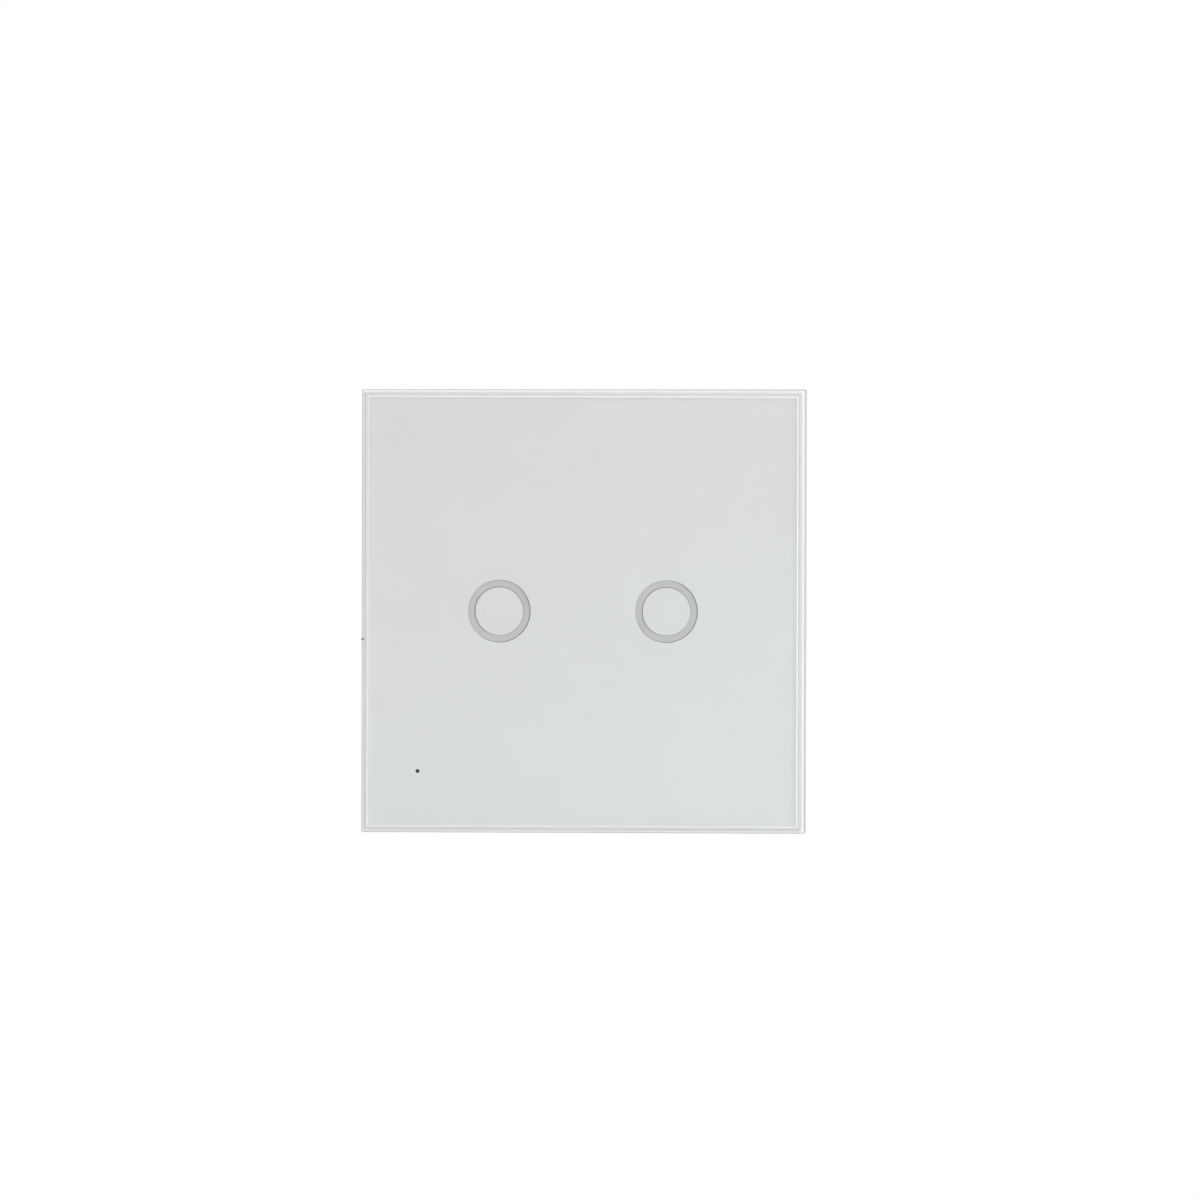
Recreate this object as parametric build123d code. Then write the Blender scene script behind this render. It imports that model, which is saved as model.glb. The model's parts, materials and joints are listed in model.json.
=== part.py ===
from build123d import *
import os

# A two-gang glass touch switch for a square wall box, with its radio and relays.
# Millimetres. X is right as seen from the front, Z is up and the front faces -Y.
# The wall surface is the plane y = 0. The origin is midway between the two fixing slots.

# Fits that many pieces share
overrun = 1.0
part_fit = 0.2
close_fit = 0.1
shank_fit = 0.05
board_play = 0.4

# Depths of the front stack, from the wall outwards
base_thickness = 2.2
board_clearance = 1.0
touch_board_thickness = 1.2
board_standoff = 0.9
plate_thickness = 1.8
adhesive_thickness = 0.25
print_thickness = 0.15
glass_thickness = 3.0

base_front = -base_thickness
touch_back = base_front - board_clearance
touch_front = touch_back - touch_board_thickness
plate_back = touch_front - board_standoff
frame_front = plate_back - plate_thickness
print_back = frame_front - adhesive_thickness
glass_back = print_back - print_thickness
glass_front = glass_back - glass_thickness

# Outline of the front panel
panel_size = 86.0
panel_corner = 0.8
skirt_draft = 0.15
bezel_width = 0.6
bezel_bevel_share = 0.75
skirt_wall = 1.6
skirt_inner_corner = 1.0
skirt_wall_gap = 0.3
frame_front_size = panel_size - 2 * skirt_draft
glass_size = frame_front_size - 2 * bezel_width
skirt_inner = panel_size / 2 - skirt_wall
skirt_rear = -skirt_wall_gap

# Touch keys and the indicator, as they lie on the face
key_spacing = 32.3
ring_outer_radius = 6.05
ring_inner_radius = 4.62
indicator_side_inset = 11.1
indicator_foot_inset = 12.05
indicator_radius = 0.27
indicator_x = indicator_side_inset - panel_size / 2
indicator_z = indicator_foot_inset - panel_size / 2
key_places = [(-key_spacing / 2, 0), (key_spacing / 2, 0)]

# Glass
glass_corner = 0.6
face_corner_share = 0.5
glass_bevel = 0.95
glass_rear_bevel = 0.2

# Print and adhesive on the back of the glass
print_margin = 0.35
adhesive_margin = 1.2
adhesive_setback = 0.15
adhesive_indicator_window = 2.0

# Light rings, light pipe and light-emitting diodes
ring_lap = 0.3
ring_thickness = 0.9
ring_recess = 0.1
ring_leg_count = 4
ring_leg_size = 1.4
pipe_size = 1.5
pipe_flange_size = 2.7
pipe_flange_thickness = 0.4
led_length = 1.6
led_width = 0.8
led_height = 0.6
led_gap = 0.15
ring_outer = ring_outer_radius + ring_lap
ring_inner = ring_inner_radius - ring_lap
ring_middle = (ring_outer + ring_inner) / 2
ring_floor = frame_front + ring_recess + ring_thickness
light_end = touch_front - led_height - led_gap

# Relays, which set the size of the power board
relay_width = 15.5
relay_length = 19.0
relay_height = 15.3
relay_bay = 13.4
relay_count = 2

# Supply parts in a row above the relays: width along X, depth along Z, height along Y
transformer_width = 16.0
transformer_depth = 13.0
transformer_height = 13.4
input_capacitor_diameter = 8.0
input_capacitor_height = 14.0
output_capacitor_diameter = 6.3
output_capacitor_height = 11.5
suppression_width = 5.0
suppression_depth = 13.0
suppression_height = 11.0
fuse_width = 4.2
fuse_depth = 8.4
fuse_height = 8.0
varistor_diameter = 9.0
varistor_thickness = 4.4
supply_gap = 1.0

# Terminal block
terminal_count = 4
terminal_pitch = 7.5
terminal_depth = 11.0
terminal_gap = 1.5
terminal_width = terminal_count * terminal_pitch

# Power board and the corner pillars that it is clamped on
power_board_thickness = 1.6
board_edge = 0.6
pillar_size = 5.8
pillar_gap = 0.9
housing_wall = 1.8
supply_widths = [
    transformer_width,
    input_capacitor_diameter,
    output_capacitor_diameter,
    suppression_width,
    fuse_width,
]
supply_row_width = sum(supply_widths) + supply_gap * (len(supply_widths) - 1)
supply_row_depth = max(transformer_depth, suppression_depth)
relay_row_width = relay_count * relay_width + relay_bay
terminal_row_width = terminal_width + 2 * (pillar_gap + pillar_size - board_play)
power_board_width = max(relay_row_width, supply_row_width, terminal_row_width) + 2 * board_edge
terminal_inboard = terminal_depth - housing_wall - board_play
pillar_zone = pillar_gap + pillar_size - board_play
power_board_height = (
    terminal_inboard + terminal_gap + relay_length + supply_gap + supply_row_depth + pillar_zone
)
board_bottom = -power_board_height / 2
relay_z = board_bottom + terminal_inboard + terminal_gap + relay_length / 2
supply_bottom = relay_z + relay_length / 2 + supply_gap
supply_z = supply_bottom + supply_row_depth / 2
relay_x = (relay_bay + relay_width) / 2

# Plug connection between the two boards
header_pitch = 2.54
header_pin_count = 8
header_width = 2.5
header_strip_height = 2.0
header_pin_size = 0.64
header_pin_tail = 0.5
header_pin_reach = 4.5
header_seat_gap = 0.2
socket_height = 6.0
socket_cavity = 1.0
socket_floor = 1.0
header_length = header_pin_count * header_pitch
header_z = supply_bottom + supply_row_depth + header_width / 2

# Depths inside the wall box
relay_headroom = 1.3
power_front = touch_back + header_strip_height + header_seat_gap + socket_height
power_back = power_front + power_board_thickness
housing_inner_back = power_back + relay_height + relay_headroom
housing_back = housing_inner_back + housing_wall
lead_tail = 1.0
lead_end = power_front - lead_tail

# Rear housing
housing_corner = 2.4
housing_back_bevel = 0.9
housing_inner_width = power_board_width + 2 * board_play
housing_inner_height = power_board_height + 2 * board_play
housing_width = housing_inner_width + 2 * housing_wall
housing_height = housing_inner_height + 2 * housing_wall
housing_bottom = -housing_height / 2
collar_wall = 1.2
collar_lap = 1.5
vent_count = 5
vent_width = 1.4
vent_pitch = 3.2
vent_length = 12.0
vent_bank_x = 12.0

# Long screws through the housing, the power board and into the base plate
long_screw_radius = 1.1
long_screw_head_radius = 2.2
long_screw_head_height = 1.6
long_screw_sink = 2.0
long_screw_board_gap = 0.3
boss_floor = 1.0
screw_tip_gap = 0.4
pillar_x = (housing_inner_width - pillar_size) / 2
pillar_z = (housing_inner_height - pillar_size) / 2

# Base plate
panel_fit = 0.3
rim_wall = 1.4
stop_height = 1.1
base_corner = 1.0
fixing_spacing = 60.3
fixing_slot_length = 7.0
fixing_slot_width = 4.0
fixing_recess_length = 12.0
fixing_recess_width = 9.0
fixing_recess_depth = 0.6
housing_seat_depth = 0.8
base_outer = skirt_inner - panel_fit
rim_inner = base_outer - rim_wall
rim_front = plate_back + stop_height

# Leaf clips that straddle the rim, two at the top and two at the bottom
clip_spacing = 48.0
clip_width = 8.0
clip_thickness = 0.3
clip_side_gap = 0.5
clip_seat_drop = 0.4
clip_notch = 0.6
clip_catch = 0.2
clip_pocket = 0.7
clip_bump_half = 1.0
clip_end_gap = 0.3

# Touch board
touch_board_margin = 4.7
touch_board_corner = 1.0
fixing_head_zone = 5.2
notch_half_height = 9.0
touch_board_half = rim_inner - touch_board_margin
touch_pad_size = 7.0

# Screws that hold the touch board to the panel frame
panel_screw_inset = 4.2
panel_screw_z = 14.0
panel_screw_radius = 0.8
panel_screw_head_radius = 1.7
panel_screw_head_height = 1.1
panel_boss_size = 4.6
panel_screw_depth = 2.8
panel_screw_x = housing_inner_width / 2 - panel_screw_inset

# Ribs and stops inside the panel frame
fence_wall = 1.0
fence_height = 1.6
fence_gap = 0.3
rib_width = 1.0
rib_gap = 0.2
rib_spacings = [36.0, 60.0]
stop_length = 8.0
stop_spacing = 20.0
rest_size = 2.4
rest_inset = 4.0
rest_z = 20.0
pry_length = 12.0
pry_height = 1.2
nick_length = 0.5
nick_depth = 0.4
nick_z = -5.5

# Parts on the back of the touch board
controller_length = 10.0
controller_width = 4.0
controller_height = 1.6
controller_z = 5.0
chip_bevel_share = 0.15
radio_length = 24.0
radio_width = 16.0
radio_board_thickness = 0.8
radio_z = -9.0
shield_width = 13.0
shield_height = 2.0
shield_bevel = 0.3
shield_inset = 1.0
antenna_thickness = 0.05
antenna_track = 0.6
antenna_turns = 5
antenna_margin = 0.8
antenna_zone = 7.0
shield_length = radio_length - shield_inset - antenna_zone

# Parts on the front of the power board, each between the pins of a relay
bridge_length = 8.0
bridge_width = 6.4
bridge_height = 2.6
converter_length = 6.0
converter_width = 5.0
converter_height = 1.8


def span(middle, size):
    """The two limits of a size that is centred on a place."""
    return (middle - size / 2, middle + size / 2)


def block(x_span, y_span, z_span):
    """A box between three pairs of limits."""
    spans = (x_span, y_span, z_span)
    sizes = [high - low for low, high in spans]
    middles = [(high + low) / 2 for low, high in spans]
    return Pos(*middles) * Box(*sizes)


def slab(width, height, corner, y_span, x=0, z=0):
    """A plate with rounded corners, parallel to the wall."""
    near, far = y_span
    outline = Pos(x, near, z) * (Plane.XZ * RectangleRounded(width, height, corner))
    return extrude(outline, amount=near - far)


def tapered(front, rear):
    """A square block between two rounded squares, each given as size, corner and depth."""
    faces = []
    for size, corner, y in (front, rear):
        faces.append(Pos(Y=y) * (Plane.XZ * RectangleRounded(size, size, corner)))
    return loft(faces, ruled=True)


def disc(radius, y_span, x=0, z=0):
    """A round piece whose axis is square to the wall."""
    near, far = y_span
    return Pos(x, (near + far) / 2, z) * (Rot(X=90) * Cylinder(radius, far - near))


def side_plane(x, facing, y=0, z=0):
    """A plane square to X: its first axis runs up or down and its second into the wall."""
    return Plane(origin=(x, y, z), x_dir=(0, 0, facing), z_dir=(-facing, 0, 0))


def prism(face, plane, width):
    """A flat outline made into a piece of even width, centred on its plane."""
    return extrude(plane * face, amount=width / 2, both=True)


def outline(points):
    return make_face(Polyline(*points, close=True))


def strip(points, thickness):
    """The side view of a bent strip whose middle line runs through the points."""
    line = [Vector(*point) for point in points]
    runs = [(far - near).normalized() for near, far in zip(line, line[1:])]
    normals = [Vector(-run.Y, run.X) for run in runs]
    pairs = zip([normals[0]] + normals, normals + [normals[-1]])
    mitres = [(one + two) * (2 / (one + two).length ** 2) for one, two in pairs]
    half = thickness / 2
    left = [point + mitre * half for point, mitre in zip(line, mitres)]
    right = [point - mitre * half for point, mitre in zip(line, mitres)]
    return outline(left + right[::-1])


def joined(pieces):
    """One shape fused from a list of shapes."""
    return pieces[0] + pieces[1:] if len(pieces) > 1 else pieces[0]


def four(x, z):
    """The four places that mirror one place in both directions."""
    return [(side * x, level * z) for side in (-1, 1) for level in (-1, 1)]


def pair(x, z):
    """Two places in opposite corners, mirrored in both directions."""
    return [(-x, z), (x, -z)]


def square_pin(size, y_span, x, z):
    return block(span(x, size), y_span, span(z, size))


def screw(radius, tip, head_radius, seat, head_height, x, z):
    """A plain screw that points at the front, with its head on the seat."""
    return disc(radius, (tip, seat), x, z) + disc(head_radius, (seat, seat + head_height), x, z)


# Front panel pieces

def glass_panel():
    bevel_back = glass_front + glass_bevel
    plate = slab(glass_size, glass_size, glass_corner, (bevel_back, glass_back))
    rear_edges = plate.faces().sort_by(Axis.Y)[-1].edges()
    plate = chamfer(rear_edges, glass_rear_bevel)
    face_size = glass_size - 2 * glass_bevel
    front = (face_size, glass_corner * face_corner_share, glass_front)
    return plate + tapered(front, (glass_size, glass_corner, bevel_back))


def back_print():
    """The print, with a ring window at each key, which leaves its middle disc, and a dot."""
    size = glass_size - 2 * print_margin
    depth = (glass_back, print_back)
    through = (glass_back - overrun, print_back + overrun)
    sheet = slab(size, size, glass_corner, depth)
    sheet -= [disc(ring_outer_radius, through, *place) for place in key_places]
    sheet -= disc(indicator_radius, through, indicator_x, indicator_z)
    return [sheet] + [disc(ring_inner_radius, depth, *place) for place in key_places]


def adhesive_sheet():
    size = glass_size - 2 * adhesive_margin
    through = (print_back - overrun, frame_front + overrun)
    sheet = slab(size, size, glass_corner, (print_back, frame_front))
    window = 2 * (ring_outer_radius + adhesive_setback)
    sheet -= [square_pin(window, through, *place) for place in key_places]
    return sheet - square_pin(adhesive_indicator_window, through, indicator_x, indicator_z)


def ring_leg_places(x, z):
    legs = PolarLocations(ring_middle, ring_leg_count)
    return [(x + leg.position.X, z + leg.position.Y) for leg in legs]


def light_ring(x, z):
    depth = (frame_front + ring_recess, ring_floor)
    ring = disc(ring_outer, depth, x, z) - disc(ring_inner, depth, x, z)
    legs = [square_pin(ring_leg_size, (depth[0], light_end), *place) for place in ring_leg_places(x, z)]
    return ring + legs


def indicator_light_pipe():
    shoulder = plate_back - pipe_flange_thickness
    pin = square_pin(pipe_size, (frame_front, light_end), indicator_x, indicator_z)
    return pin + square_pin(pipe_flange_size, (shoulder, plate_back), indicator_x, indicator_z)


def skirt_shell():
    """The outer form of the panel frame, drafted towards the front and bevelled there."""
    bevel = bezel_width * bezel_bevel_share
    front = (frame_front_size - 2 * bevel, panel_corner / 2, frame_front)
    edge = (frame_front_size, panel_corner, frame_front + bevel)
    shell = tapered(front, edge) + tapered(edge, (panel_size, panel_corner, skirt_rear))
    hollow = (plate_back, skirt_rear + overrun)
    return shell - slab(2 * skirt_inner, 2 * skirt_inner, skirt_inner_corner, hollow)


def frame_ribs():
    """The fence round the touch board, with the ribs and stops between it and the skirt."""
    fence_inner = touch_board_half + fence_gap
    fence_outer = fence_inner + fence_wall
    depth = (plate_back, plate_back + fence_height)
    outer = square_pin(2 * fence_outer, depth, 0, 0)
    inner = square_pin(2 * fence_inner, depth, 0, 0)
    ribs = [outer - inner]
    rib_depth = (plate_back, plate_back + stop_height - rib_gap)
    stop_depth = (plate_back, rim_front)
    for turn in range(4):
        side = []
        for spacing in rib_spacings:
            for place in (-spacing / 2, spacing / 2):
                rib = block(span(place, rib_width), rib_depth, (fence_outer, skirt_inner))
                side.append(rib)
        for place in (-stop_spacing / 2, stop_spacing / 2):
            side.append(block(span(place, stop_length), stop_depth, (rim_inner, skirt_inner)))
        ribs += [Rot(Y=90 * turn) * piece for piece in side]
    return ribs


def panel_frame():
    frame = skirt_shell() + frame_ribs()
    standing = (plate_back, touch_front)
    rests = four(touch_board_half - rest_inset, rest_z)
    frame += [square_pin(rest_size, standing, *place) for place in rests]
    screws = pair(panel_screw_x, panel_screw_z)
    frame += [square_pin(panel_boss_size, standing, *place) for place in screws]

    # Pockets and light holes
    for x, z in key_places:
        pocket = (frame_front - overrun, ring_floor)
        groove = disc(ring_outer + close_fit, pocket, x, z) - disc(ring_inner - close_fit, pocket, x, z)
        frame -= groove
        through = (frame_front, plate_back + overrun)
        leg_hole = ring_leg_size + 2 * close_fit
        frame -= [square_pin(leg_hole, through, *leg) for leg in ring_leg_places(x, z)]
    pipe_depth = (frame_front - overrun, plate_back + overrun)
    frame -= square_pin(pipe_size + 2 * close_fit, pipe_depth, indicator_x, indicator_z)
    flange_depth = (plate_back - pipe_flange_thickness, plate_back + overrun)
    frame -= square_pin(pipe_flange_size + 2 * close_fit, flange_depth, indicator_x, indicator_z)

    # Blind holes for the board screws
    hole_depth = (touch_back - panel_screw_depth - screw_tip_gap, touch_front + overrun)
    frame -= [disc(panel_screw_radius + shank_fit, hole_depth, *place) for place in screws]

    # Pockets for the leaf clips, the pry slot and the mark on the left edge
    for x in (-clip_spacing / 2, clip_spacing / 2):
        width = span(x, clip_width + 2 * clip_side_gap)
        depth = span(clip_bump_y, 2 * (clip_bump_half + clip_thickness))
        for level in (-1, 1):
            reach = sorted((level * rim_inner, level * (skirt_inner + clip_pocket)))
            frame -= block(width, depth, reach)
    pry_depth = (skirt_rear - pry_height, skirt_rear + overrun)
    frame -= block(span(0, pry_length), pry_depth, (-panel_size, -skirt_inner))
    nick_x = (-panel_size, nick_depth - frame_front_size / 2)
    frame -= block(nick_x, (frame_front - overrun, frame_front + nick_length), span(nick_z, nick_length))
    return frame


def touch_board_blank(depth):
    """The touch board's outline, with a bay each side for the wall-fixing screws."""
    size = 2 * touch_board_half
    board = slab(size, size, touch_board_corner, depth)
    bay_inner = fixing_spacing / 2 - fixing_head_zone
    through = (depth[0] - overrun, depth[1] + overrun)
    for side in (-1, 1):
        reach = sorted((side * bay_inner, side * panel_size))
        board -= block(reach, through, span(0, 2 * notch_half_height))
    return board


def header_places():
    first = -header_pitch * (header_pin_count - 1) / 2
    return [(first + header_pitch * index, header_z) for index in range(header_pin_count)]


def touch_board():
    depth = (touch_front, touch_back)
    through = (touch_front - overrun, touch_back + overrun)
    board = touch_board_blank(depth)
    screws = pair(panel_screw_x, panel_screw_z)
    board -= [disc(panel_screw_radius + part_fit, through, *place) for place in screws]
    hole = header_pin_size + 2 * close_fit
    board -= [square_pin(hole, through, *place) for place in header_places()]
    return board


def touch_pads():
    return [square_pin(touch_pad_size, (plate_back, touch_front), *place) for place in key_places]


def led_body(x, z):
    depth = (touch_front - led_height, touch_front)
    return block(span(x, led_length), depth, span(z, led_width))


def ring_leds():
    return [led_body(*leg) for place in key_places for leg in ring_leg_places(*place)]


def touch_controller():
    depth = (touch_back, touch_back + controller_height)
    chip = block(span(0, controller_length), depth, span(controller_z, controller_width))
    return chamfer(chip.faces().sort_by(Axis.Y)[-1].edges(), controller_height * chip_bevel_share)


def radio_board():
    depth = (touch_back, touch_back + radio_board_thickness)
    return block(span(0, radio_length), depth, span(radio_z, radio_width))


def radio_shield():
    start = touch_back + radio_board_thickness
    left = shield_inset - radio_length / 2
    depth = (start, start + shield_height)
    can = block((left, left + shield_length), depth, span(radio_z, shield_width))
    return chamfer(can.faces().sort_by(Axis.Y)[-1].edges(), shield_bevel)


def radio_antenna():
    """A meander track on the free end of the radio board."""
    start = touch_back + radio_board_thickness
    depth = (start, start + antenna_thickness)
    left = shield_inset + shield_length - radio_length / 2 + antenna_margin
    right = radio_length / 2 - antenna_margin
    height = radio_width - 2 * antenna_margin
    pitch = (height - antenna_track) / antenna_turns
    bottom = radio_z - height / 2
    bars = []
    for index in range(antenna_turns + 1):
        low = bottom + index * pitch
        bars.append(block((left, right), depth, (low, low + antenna_track)))
    for index in range(antenna_turns):
        low = bottom + index * pitch
        at_right = (right - antenna_track, right)
        at_left = (left, left + antenna_track)
        bars.append(block(at_right if index % 2 else at_left, depth, (low, low + pitch)))
    return joined(bars)


def header_strip():
    depth = (touch_back, touch_back + header_strip_height)
    strip_body = block(span(0, header_length), depth, span(header_z, header_width))
    hole = header_pin_size + 2 * shank_fit
    through = (depth[0] - overrun, depth[1] + overrun)
    return strip_body - [square_pin(hole, through, *place) for place in header_places()]


def header_pins():
    depth = (touch_front - header_pin_tail, touch_back + header_strip_height + header_pin_reach)
    return [square_pin(header_pin_size, depth, *place) for place in header_places()]


def panel_screws():
    tip = touch_back - panel_screw_depth
    head = (panel_screw_head_radius, touch_back, panel_screw_head_height)
    places = pair(panel_screw_x, panel_screw_z)
    return [screw(panel_screw_radius, tip, *head, *place) for place in places]


# Base pieces

clip_seat = rim_front + clip_seat_drop
clip_bump_y = (clip_seat - clip_end_gap) / 2
clip_rim_face = base_outer - clip_notch


def base_plate():
    plate = slab(2 * base_outer, 2 * base_outer, base_corner, (rim_front, 0))
    dish = slab(2 * rim_inner, 2 * rim_inner, base_corner, (rim_front - overrun, base_front))
    plate -= dish
    opening = (base_front - overrun, overrun)
    plate -= slab(housing_inner_width, housing_inner_height, housing_corner - housing_wall, opening)
    seat_width = housing_width + 2 * part_fit
    seat_height = housing_height + 2 * part_fit
    plate -= slab(seat_width, seat_height, housing_corner + part_fit, (-housing_seat_depth, overrun))

    # Corner bosses that clamp the power board
    boss_x = pillar_x - part_fit / 2
    boss_z = pillar_z - part_fit / 2
    boss_size = pillar_size - part_fit
    for side, level in four(1, 1):
        inner_x = side * (boss_x - boss_size / 2)
        inner_z = level * (boss_z - boss_size / 2)
        free_x = side * (boss_x + boss_size / 2)
        free_z = level * (boss_z + boss_size / 2)
        plate += block(sorted((inner_x, free_x)), (base_front, power_front), sorted((inner_z, free_z)))
        root_x = side * (housing_inner_width / 2 + housing_wall)
        root_z = level * (housing_inner_height / 2 + housing_wall)
        root_depth = (base_front, -housing_seat_depth)
        plate += block(sorted((inner_x, root_x)), root_depth, sorted((inner_z, root_z)))
    hole_depth = (base_front + boss_floor, power_front + overrun)
    holes = pair(pillar_x, pillar_z)
    plate -= [disc(long_screw_radius + shank_fit, hole_depth, *place) for place in holes]

    # Fixing slots, each in a shallow recess for the screw head
    for x in (-fixing_spacing / 2, fixing_spacing / 2):
        slot_face = SlotOverall(fixing_slot_length, fixing_slot_width)
        slot = Pos(x, base_front - overrun, 0) * (Plane.XZ * slot_face)
        plate -= extrude(slot, amount=-(base_thickness + 2 * overrun))
        recess_depth = (base_front - overrun, base_front + fixing_recess_depth)
        plate -= block(span(x, fixing_recess_length), recess_depth, span(0, fixing_recess_width))

    # Seats for the leaf clips
    for x in (-clip_spacing / 2, clip_spacing / 2):
        width = span(x, clip_width + 2 * part_fit)
        for level in (-1, 1):
            outer = sorted((level * clip_rim_face, level * panel_size))
            plate -= block(width, (rim_front - overrun, overrun), outer)
            top = sorted((level * (rim_inner - overrun), level * panel_size))
            plate -= block(width, (rim_front - overrun, clip_seat), top)
    return plate


def retaining_clips():
    """Leaf clips bent over the rim, each with a bump that stands out into the skirt."""
    half = clip_thickness / 2
    inside = rim_inner - half
    outside = clip_rim_face + half
    bend = clip_seat - half
    points = [
        (inside, base_front - clip_end_gap),
        (inside, bend),
        (outside, bend),
        (outside, clip_bump_y - clip_bump_half),
        (skirt_inner + clip_catch, clip_bump_y),
        (outside, clip_bump_y + clip_bump_half),
        (outside, -clip_end_gap),
    ]
    clips = []
    for x in (-clip_spacing / 2, clip_spacing / 2):
        for facing in (-1, 1):
            clips.append(prism(strip(points, clip_thickness), side_plane(x, facing), clip_width))
    return clips


def terminal_window(y_span, growth):
    """The space in the housing's lower edge that the terminal block fills."""
    width = terminal_width + 2 * growth
    top = housing_bottom + terminal_depth + growth
    return block(span(0, width), y_span, (housing_bottom - overrun, top))


def rear_housing():
    rim = -housing_seat_depth
    tub = slab(housing_width, housing_height, housing_corner, (rim, housing_back))
    tub = chamfer(tub.faces().sort_by(Axis.Y)[-1].edges(), housing_back_bevel)
    inner_corner = housing_corner - housing_wall
    hollow = (rim - overrun, housing_inner_back)
    tub -= slab(housing_inner_width, housing_inner_height, inner_corner, hollow)
    pillar_depth = (power_back, housing_back - long_screw_sink)
    for x, z in four(pillar_x, pillar_z):
        tub += block(span(x, pillar_size), pillar_depth, span(z, pillar_size))

    # The stepped recess over the terminal block
    terminal_top = power_back + terminal_height
    collar = terminal_window((terminal_top - collar_lap, housing_inner_back), close_fit + collar_wall)
    limits = block(
        span(0, housing_width), (0, housing_back), (housing_bottom, housing_height / 2)
    )
    tub += collar & limits
    tub -= terminal_window((power_back, housing_back + overrun), close_fit)

    # Screw holes from the back
    sink = (housing_back - long_screw_sink, housing_back + overrun)
    for x, z in pair(pillar_x, pillar_z):
        tub -= disc(long_screw_radius + part_fit, (0, housing_back + overrun), x, z)
        tub -= disc(long_screw_head_radius + part_fit, sink, x, z)

    # Two banks of vents in the back
    first = -vent_pitch * (vent_count - 1) / 2
    through = (housing_inner_back - overrun, housing_back + overrun)
    vent_z = span(relay_z + relay_length / 2, vent_length)
    for index in range(vent_count):
        offset = first + vent_pitch * index
        for bank in (-vent_bank_x, vent_bank_x):
            tub -= block(span(bank + offset, vent_width), through, vent_z)
    return tub


def relay_places():
    return [-relay_x, relay_x]


def power_board():
    depth = (power_front, power_back)
    through = (power_front - overrun, power_back + overrun)
    board = block(span(0, power_board_width), depth, span(0, power_board_height))
    screws = pair(pillar_x, pillar_z)
    board -= [disc(long_screw_radius + long_screw_board_gap, through, *place) for place in screws]
    for x, z, width, height in lead_sites():
        hole_x = span(x, width + 2 * close_fit)
        hole_z = span(z, height + 2 * close_fit)
        board -= block(hole_x, through, hole_z)
    return board


def header_socket():
    depth = (power_front - socket_height, power_front)
    body = block(span(0, header_length), depth, span(header_z, header_width))
    cavity = (depth[0] - overrun, power_front - socket_floor)
    body -= [square_pin(socket_cavity, cavity, *place) for place in header_places()]
    tails = (power_front, power_back + lead_tail)
    return body + [square_pin(header_pin_size, tails, *place) for place in header_places()]


def housing_screws():
    seat = housing_back - long_screw_sink
    tip = base_front + boss_floor + screw_tip_gap
    head = (long_screw_head_radius, seat, long_screw_head_height)
    places = pair(pillar_x, pillar_z)
    return [screw(long_screw_radius, tip, *head, *place) for place in places]


# Relay: sizes in its own side view, where w runs from the hinge end to the contact end
# and h runs back from the board

relay_wall = 0.8
relay_base_thickness = 1.5
yoke_thickness = 1.2
yoke_width = 9.0
yoke_back_gap = 0.6
yoke_height = 8.5
yoke_foot_length = 11.5
coil_end_gap = 0.7
coil_size = 9.2
coil_corner = 2.0
barrel_size = 5.8
core_size = 4.4
pole_size = 6.4
pole_thickness = 0.4
pole_drop = 0.05
flange_thickness = 0.8
armature_thickness = 0.9
armature_tip_gap = 1.9
armature_gap = 0.1
armature_open_angle = 4.0
leaf_thickness = 0.25
leaf_width = 5.0
leaf_gap = 0.1
leaf_tail = 3.0
leaf_end_gap = 0.7
contact_inset = 2.9
contact_radius = 1.1
contact_below = 0.6
contact_above = 0.5
fixed_contact_size = 2.4
fixed_contact_height = 0.35
blade_thickness = 0.5
blade_width = 4.0
blade_inset = 0.3
contact_rest_gap = 0.1
rest_blade_gap = 0.15
rest_blade_width = 3.0
pin_width = 1.0
coil_pin_size = 0.6
coil_pin_x = 5.6
coil_pin_w = -5.4

relay_half = relay_length / 2
yoke_back = yoke_back_gap + relay_wall - relay_half
yoke_front = yoke_back + yoke_thickness
yoke_top = relay_base_thickness + yoke_height
foot_top = relay_base_thickness + yoke_thickness
coil_w = yoke_front + coil_end_gap + coil_size / 2
bobbin_size = coil_size + 2 * close_fit
pivot_w = yoke_back + yoke_thickness / 2
pivot_h = yoke_top + armature_gap
pole_top = yoke_top - pole_drop
flange_top = pole_top - pole_thickness
coil_top = flange_top - flange_thickness
coil_bottom = foot_top + flange_thickness
leaf_h = pivot_h + armature_thickness + leaf_gap + leaf_thickness / 2
contact_w = relay_half - contact_inset
contact_half_height = contact_below + leaf_thickness / 2
armature_end = contact_w - contact_radius - armature_tip_gap


def opened(w, h):
    """Where a point of the closed armature lies with the relay at rest."""
    turned = Vector(w - pivot_w, h - pivot_h).rotate(Axis.Z, armature_open_angle)
    return (pivot_w + turned.X, pivot_h + turned.Y)


def relay_plane(x):
    return side_plane(x, -1, power_back, relay_z)


def relay_prism(x, face, width, shift=0):
    return Pos(X=shift) * prism(face, relay_plane(x), width)


def relay_box(x, x_span, h_span, w_span):
    return block(
        (x + x_span[0], x + x_span[1]),
        (power_back + h_span[0], power_back + h_span[1]),
        (relay_z - w_span[1], relay_z - w_span[0]),
    )


def relay_case(x):
    outer = relay_box(x, span(0, relay_width), (0, relay_height), span(0, relay_length))
    edges = outer.faces().sort_by(Axis.Y)[-1].edges()
    outer = chamfer(edges, relay_wall / 2)
    inner_width = relay_width - 2 * relay_wall
    inner_length = relay_length - 2 * relay_wall
    hollow = (-overrun, relay_height - relay_wall)
    return outer - relay_box(x, span(0, inner_width), hollow, span(0, inner_length))


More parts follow.
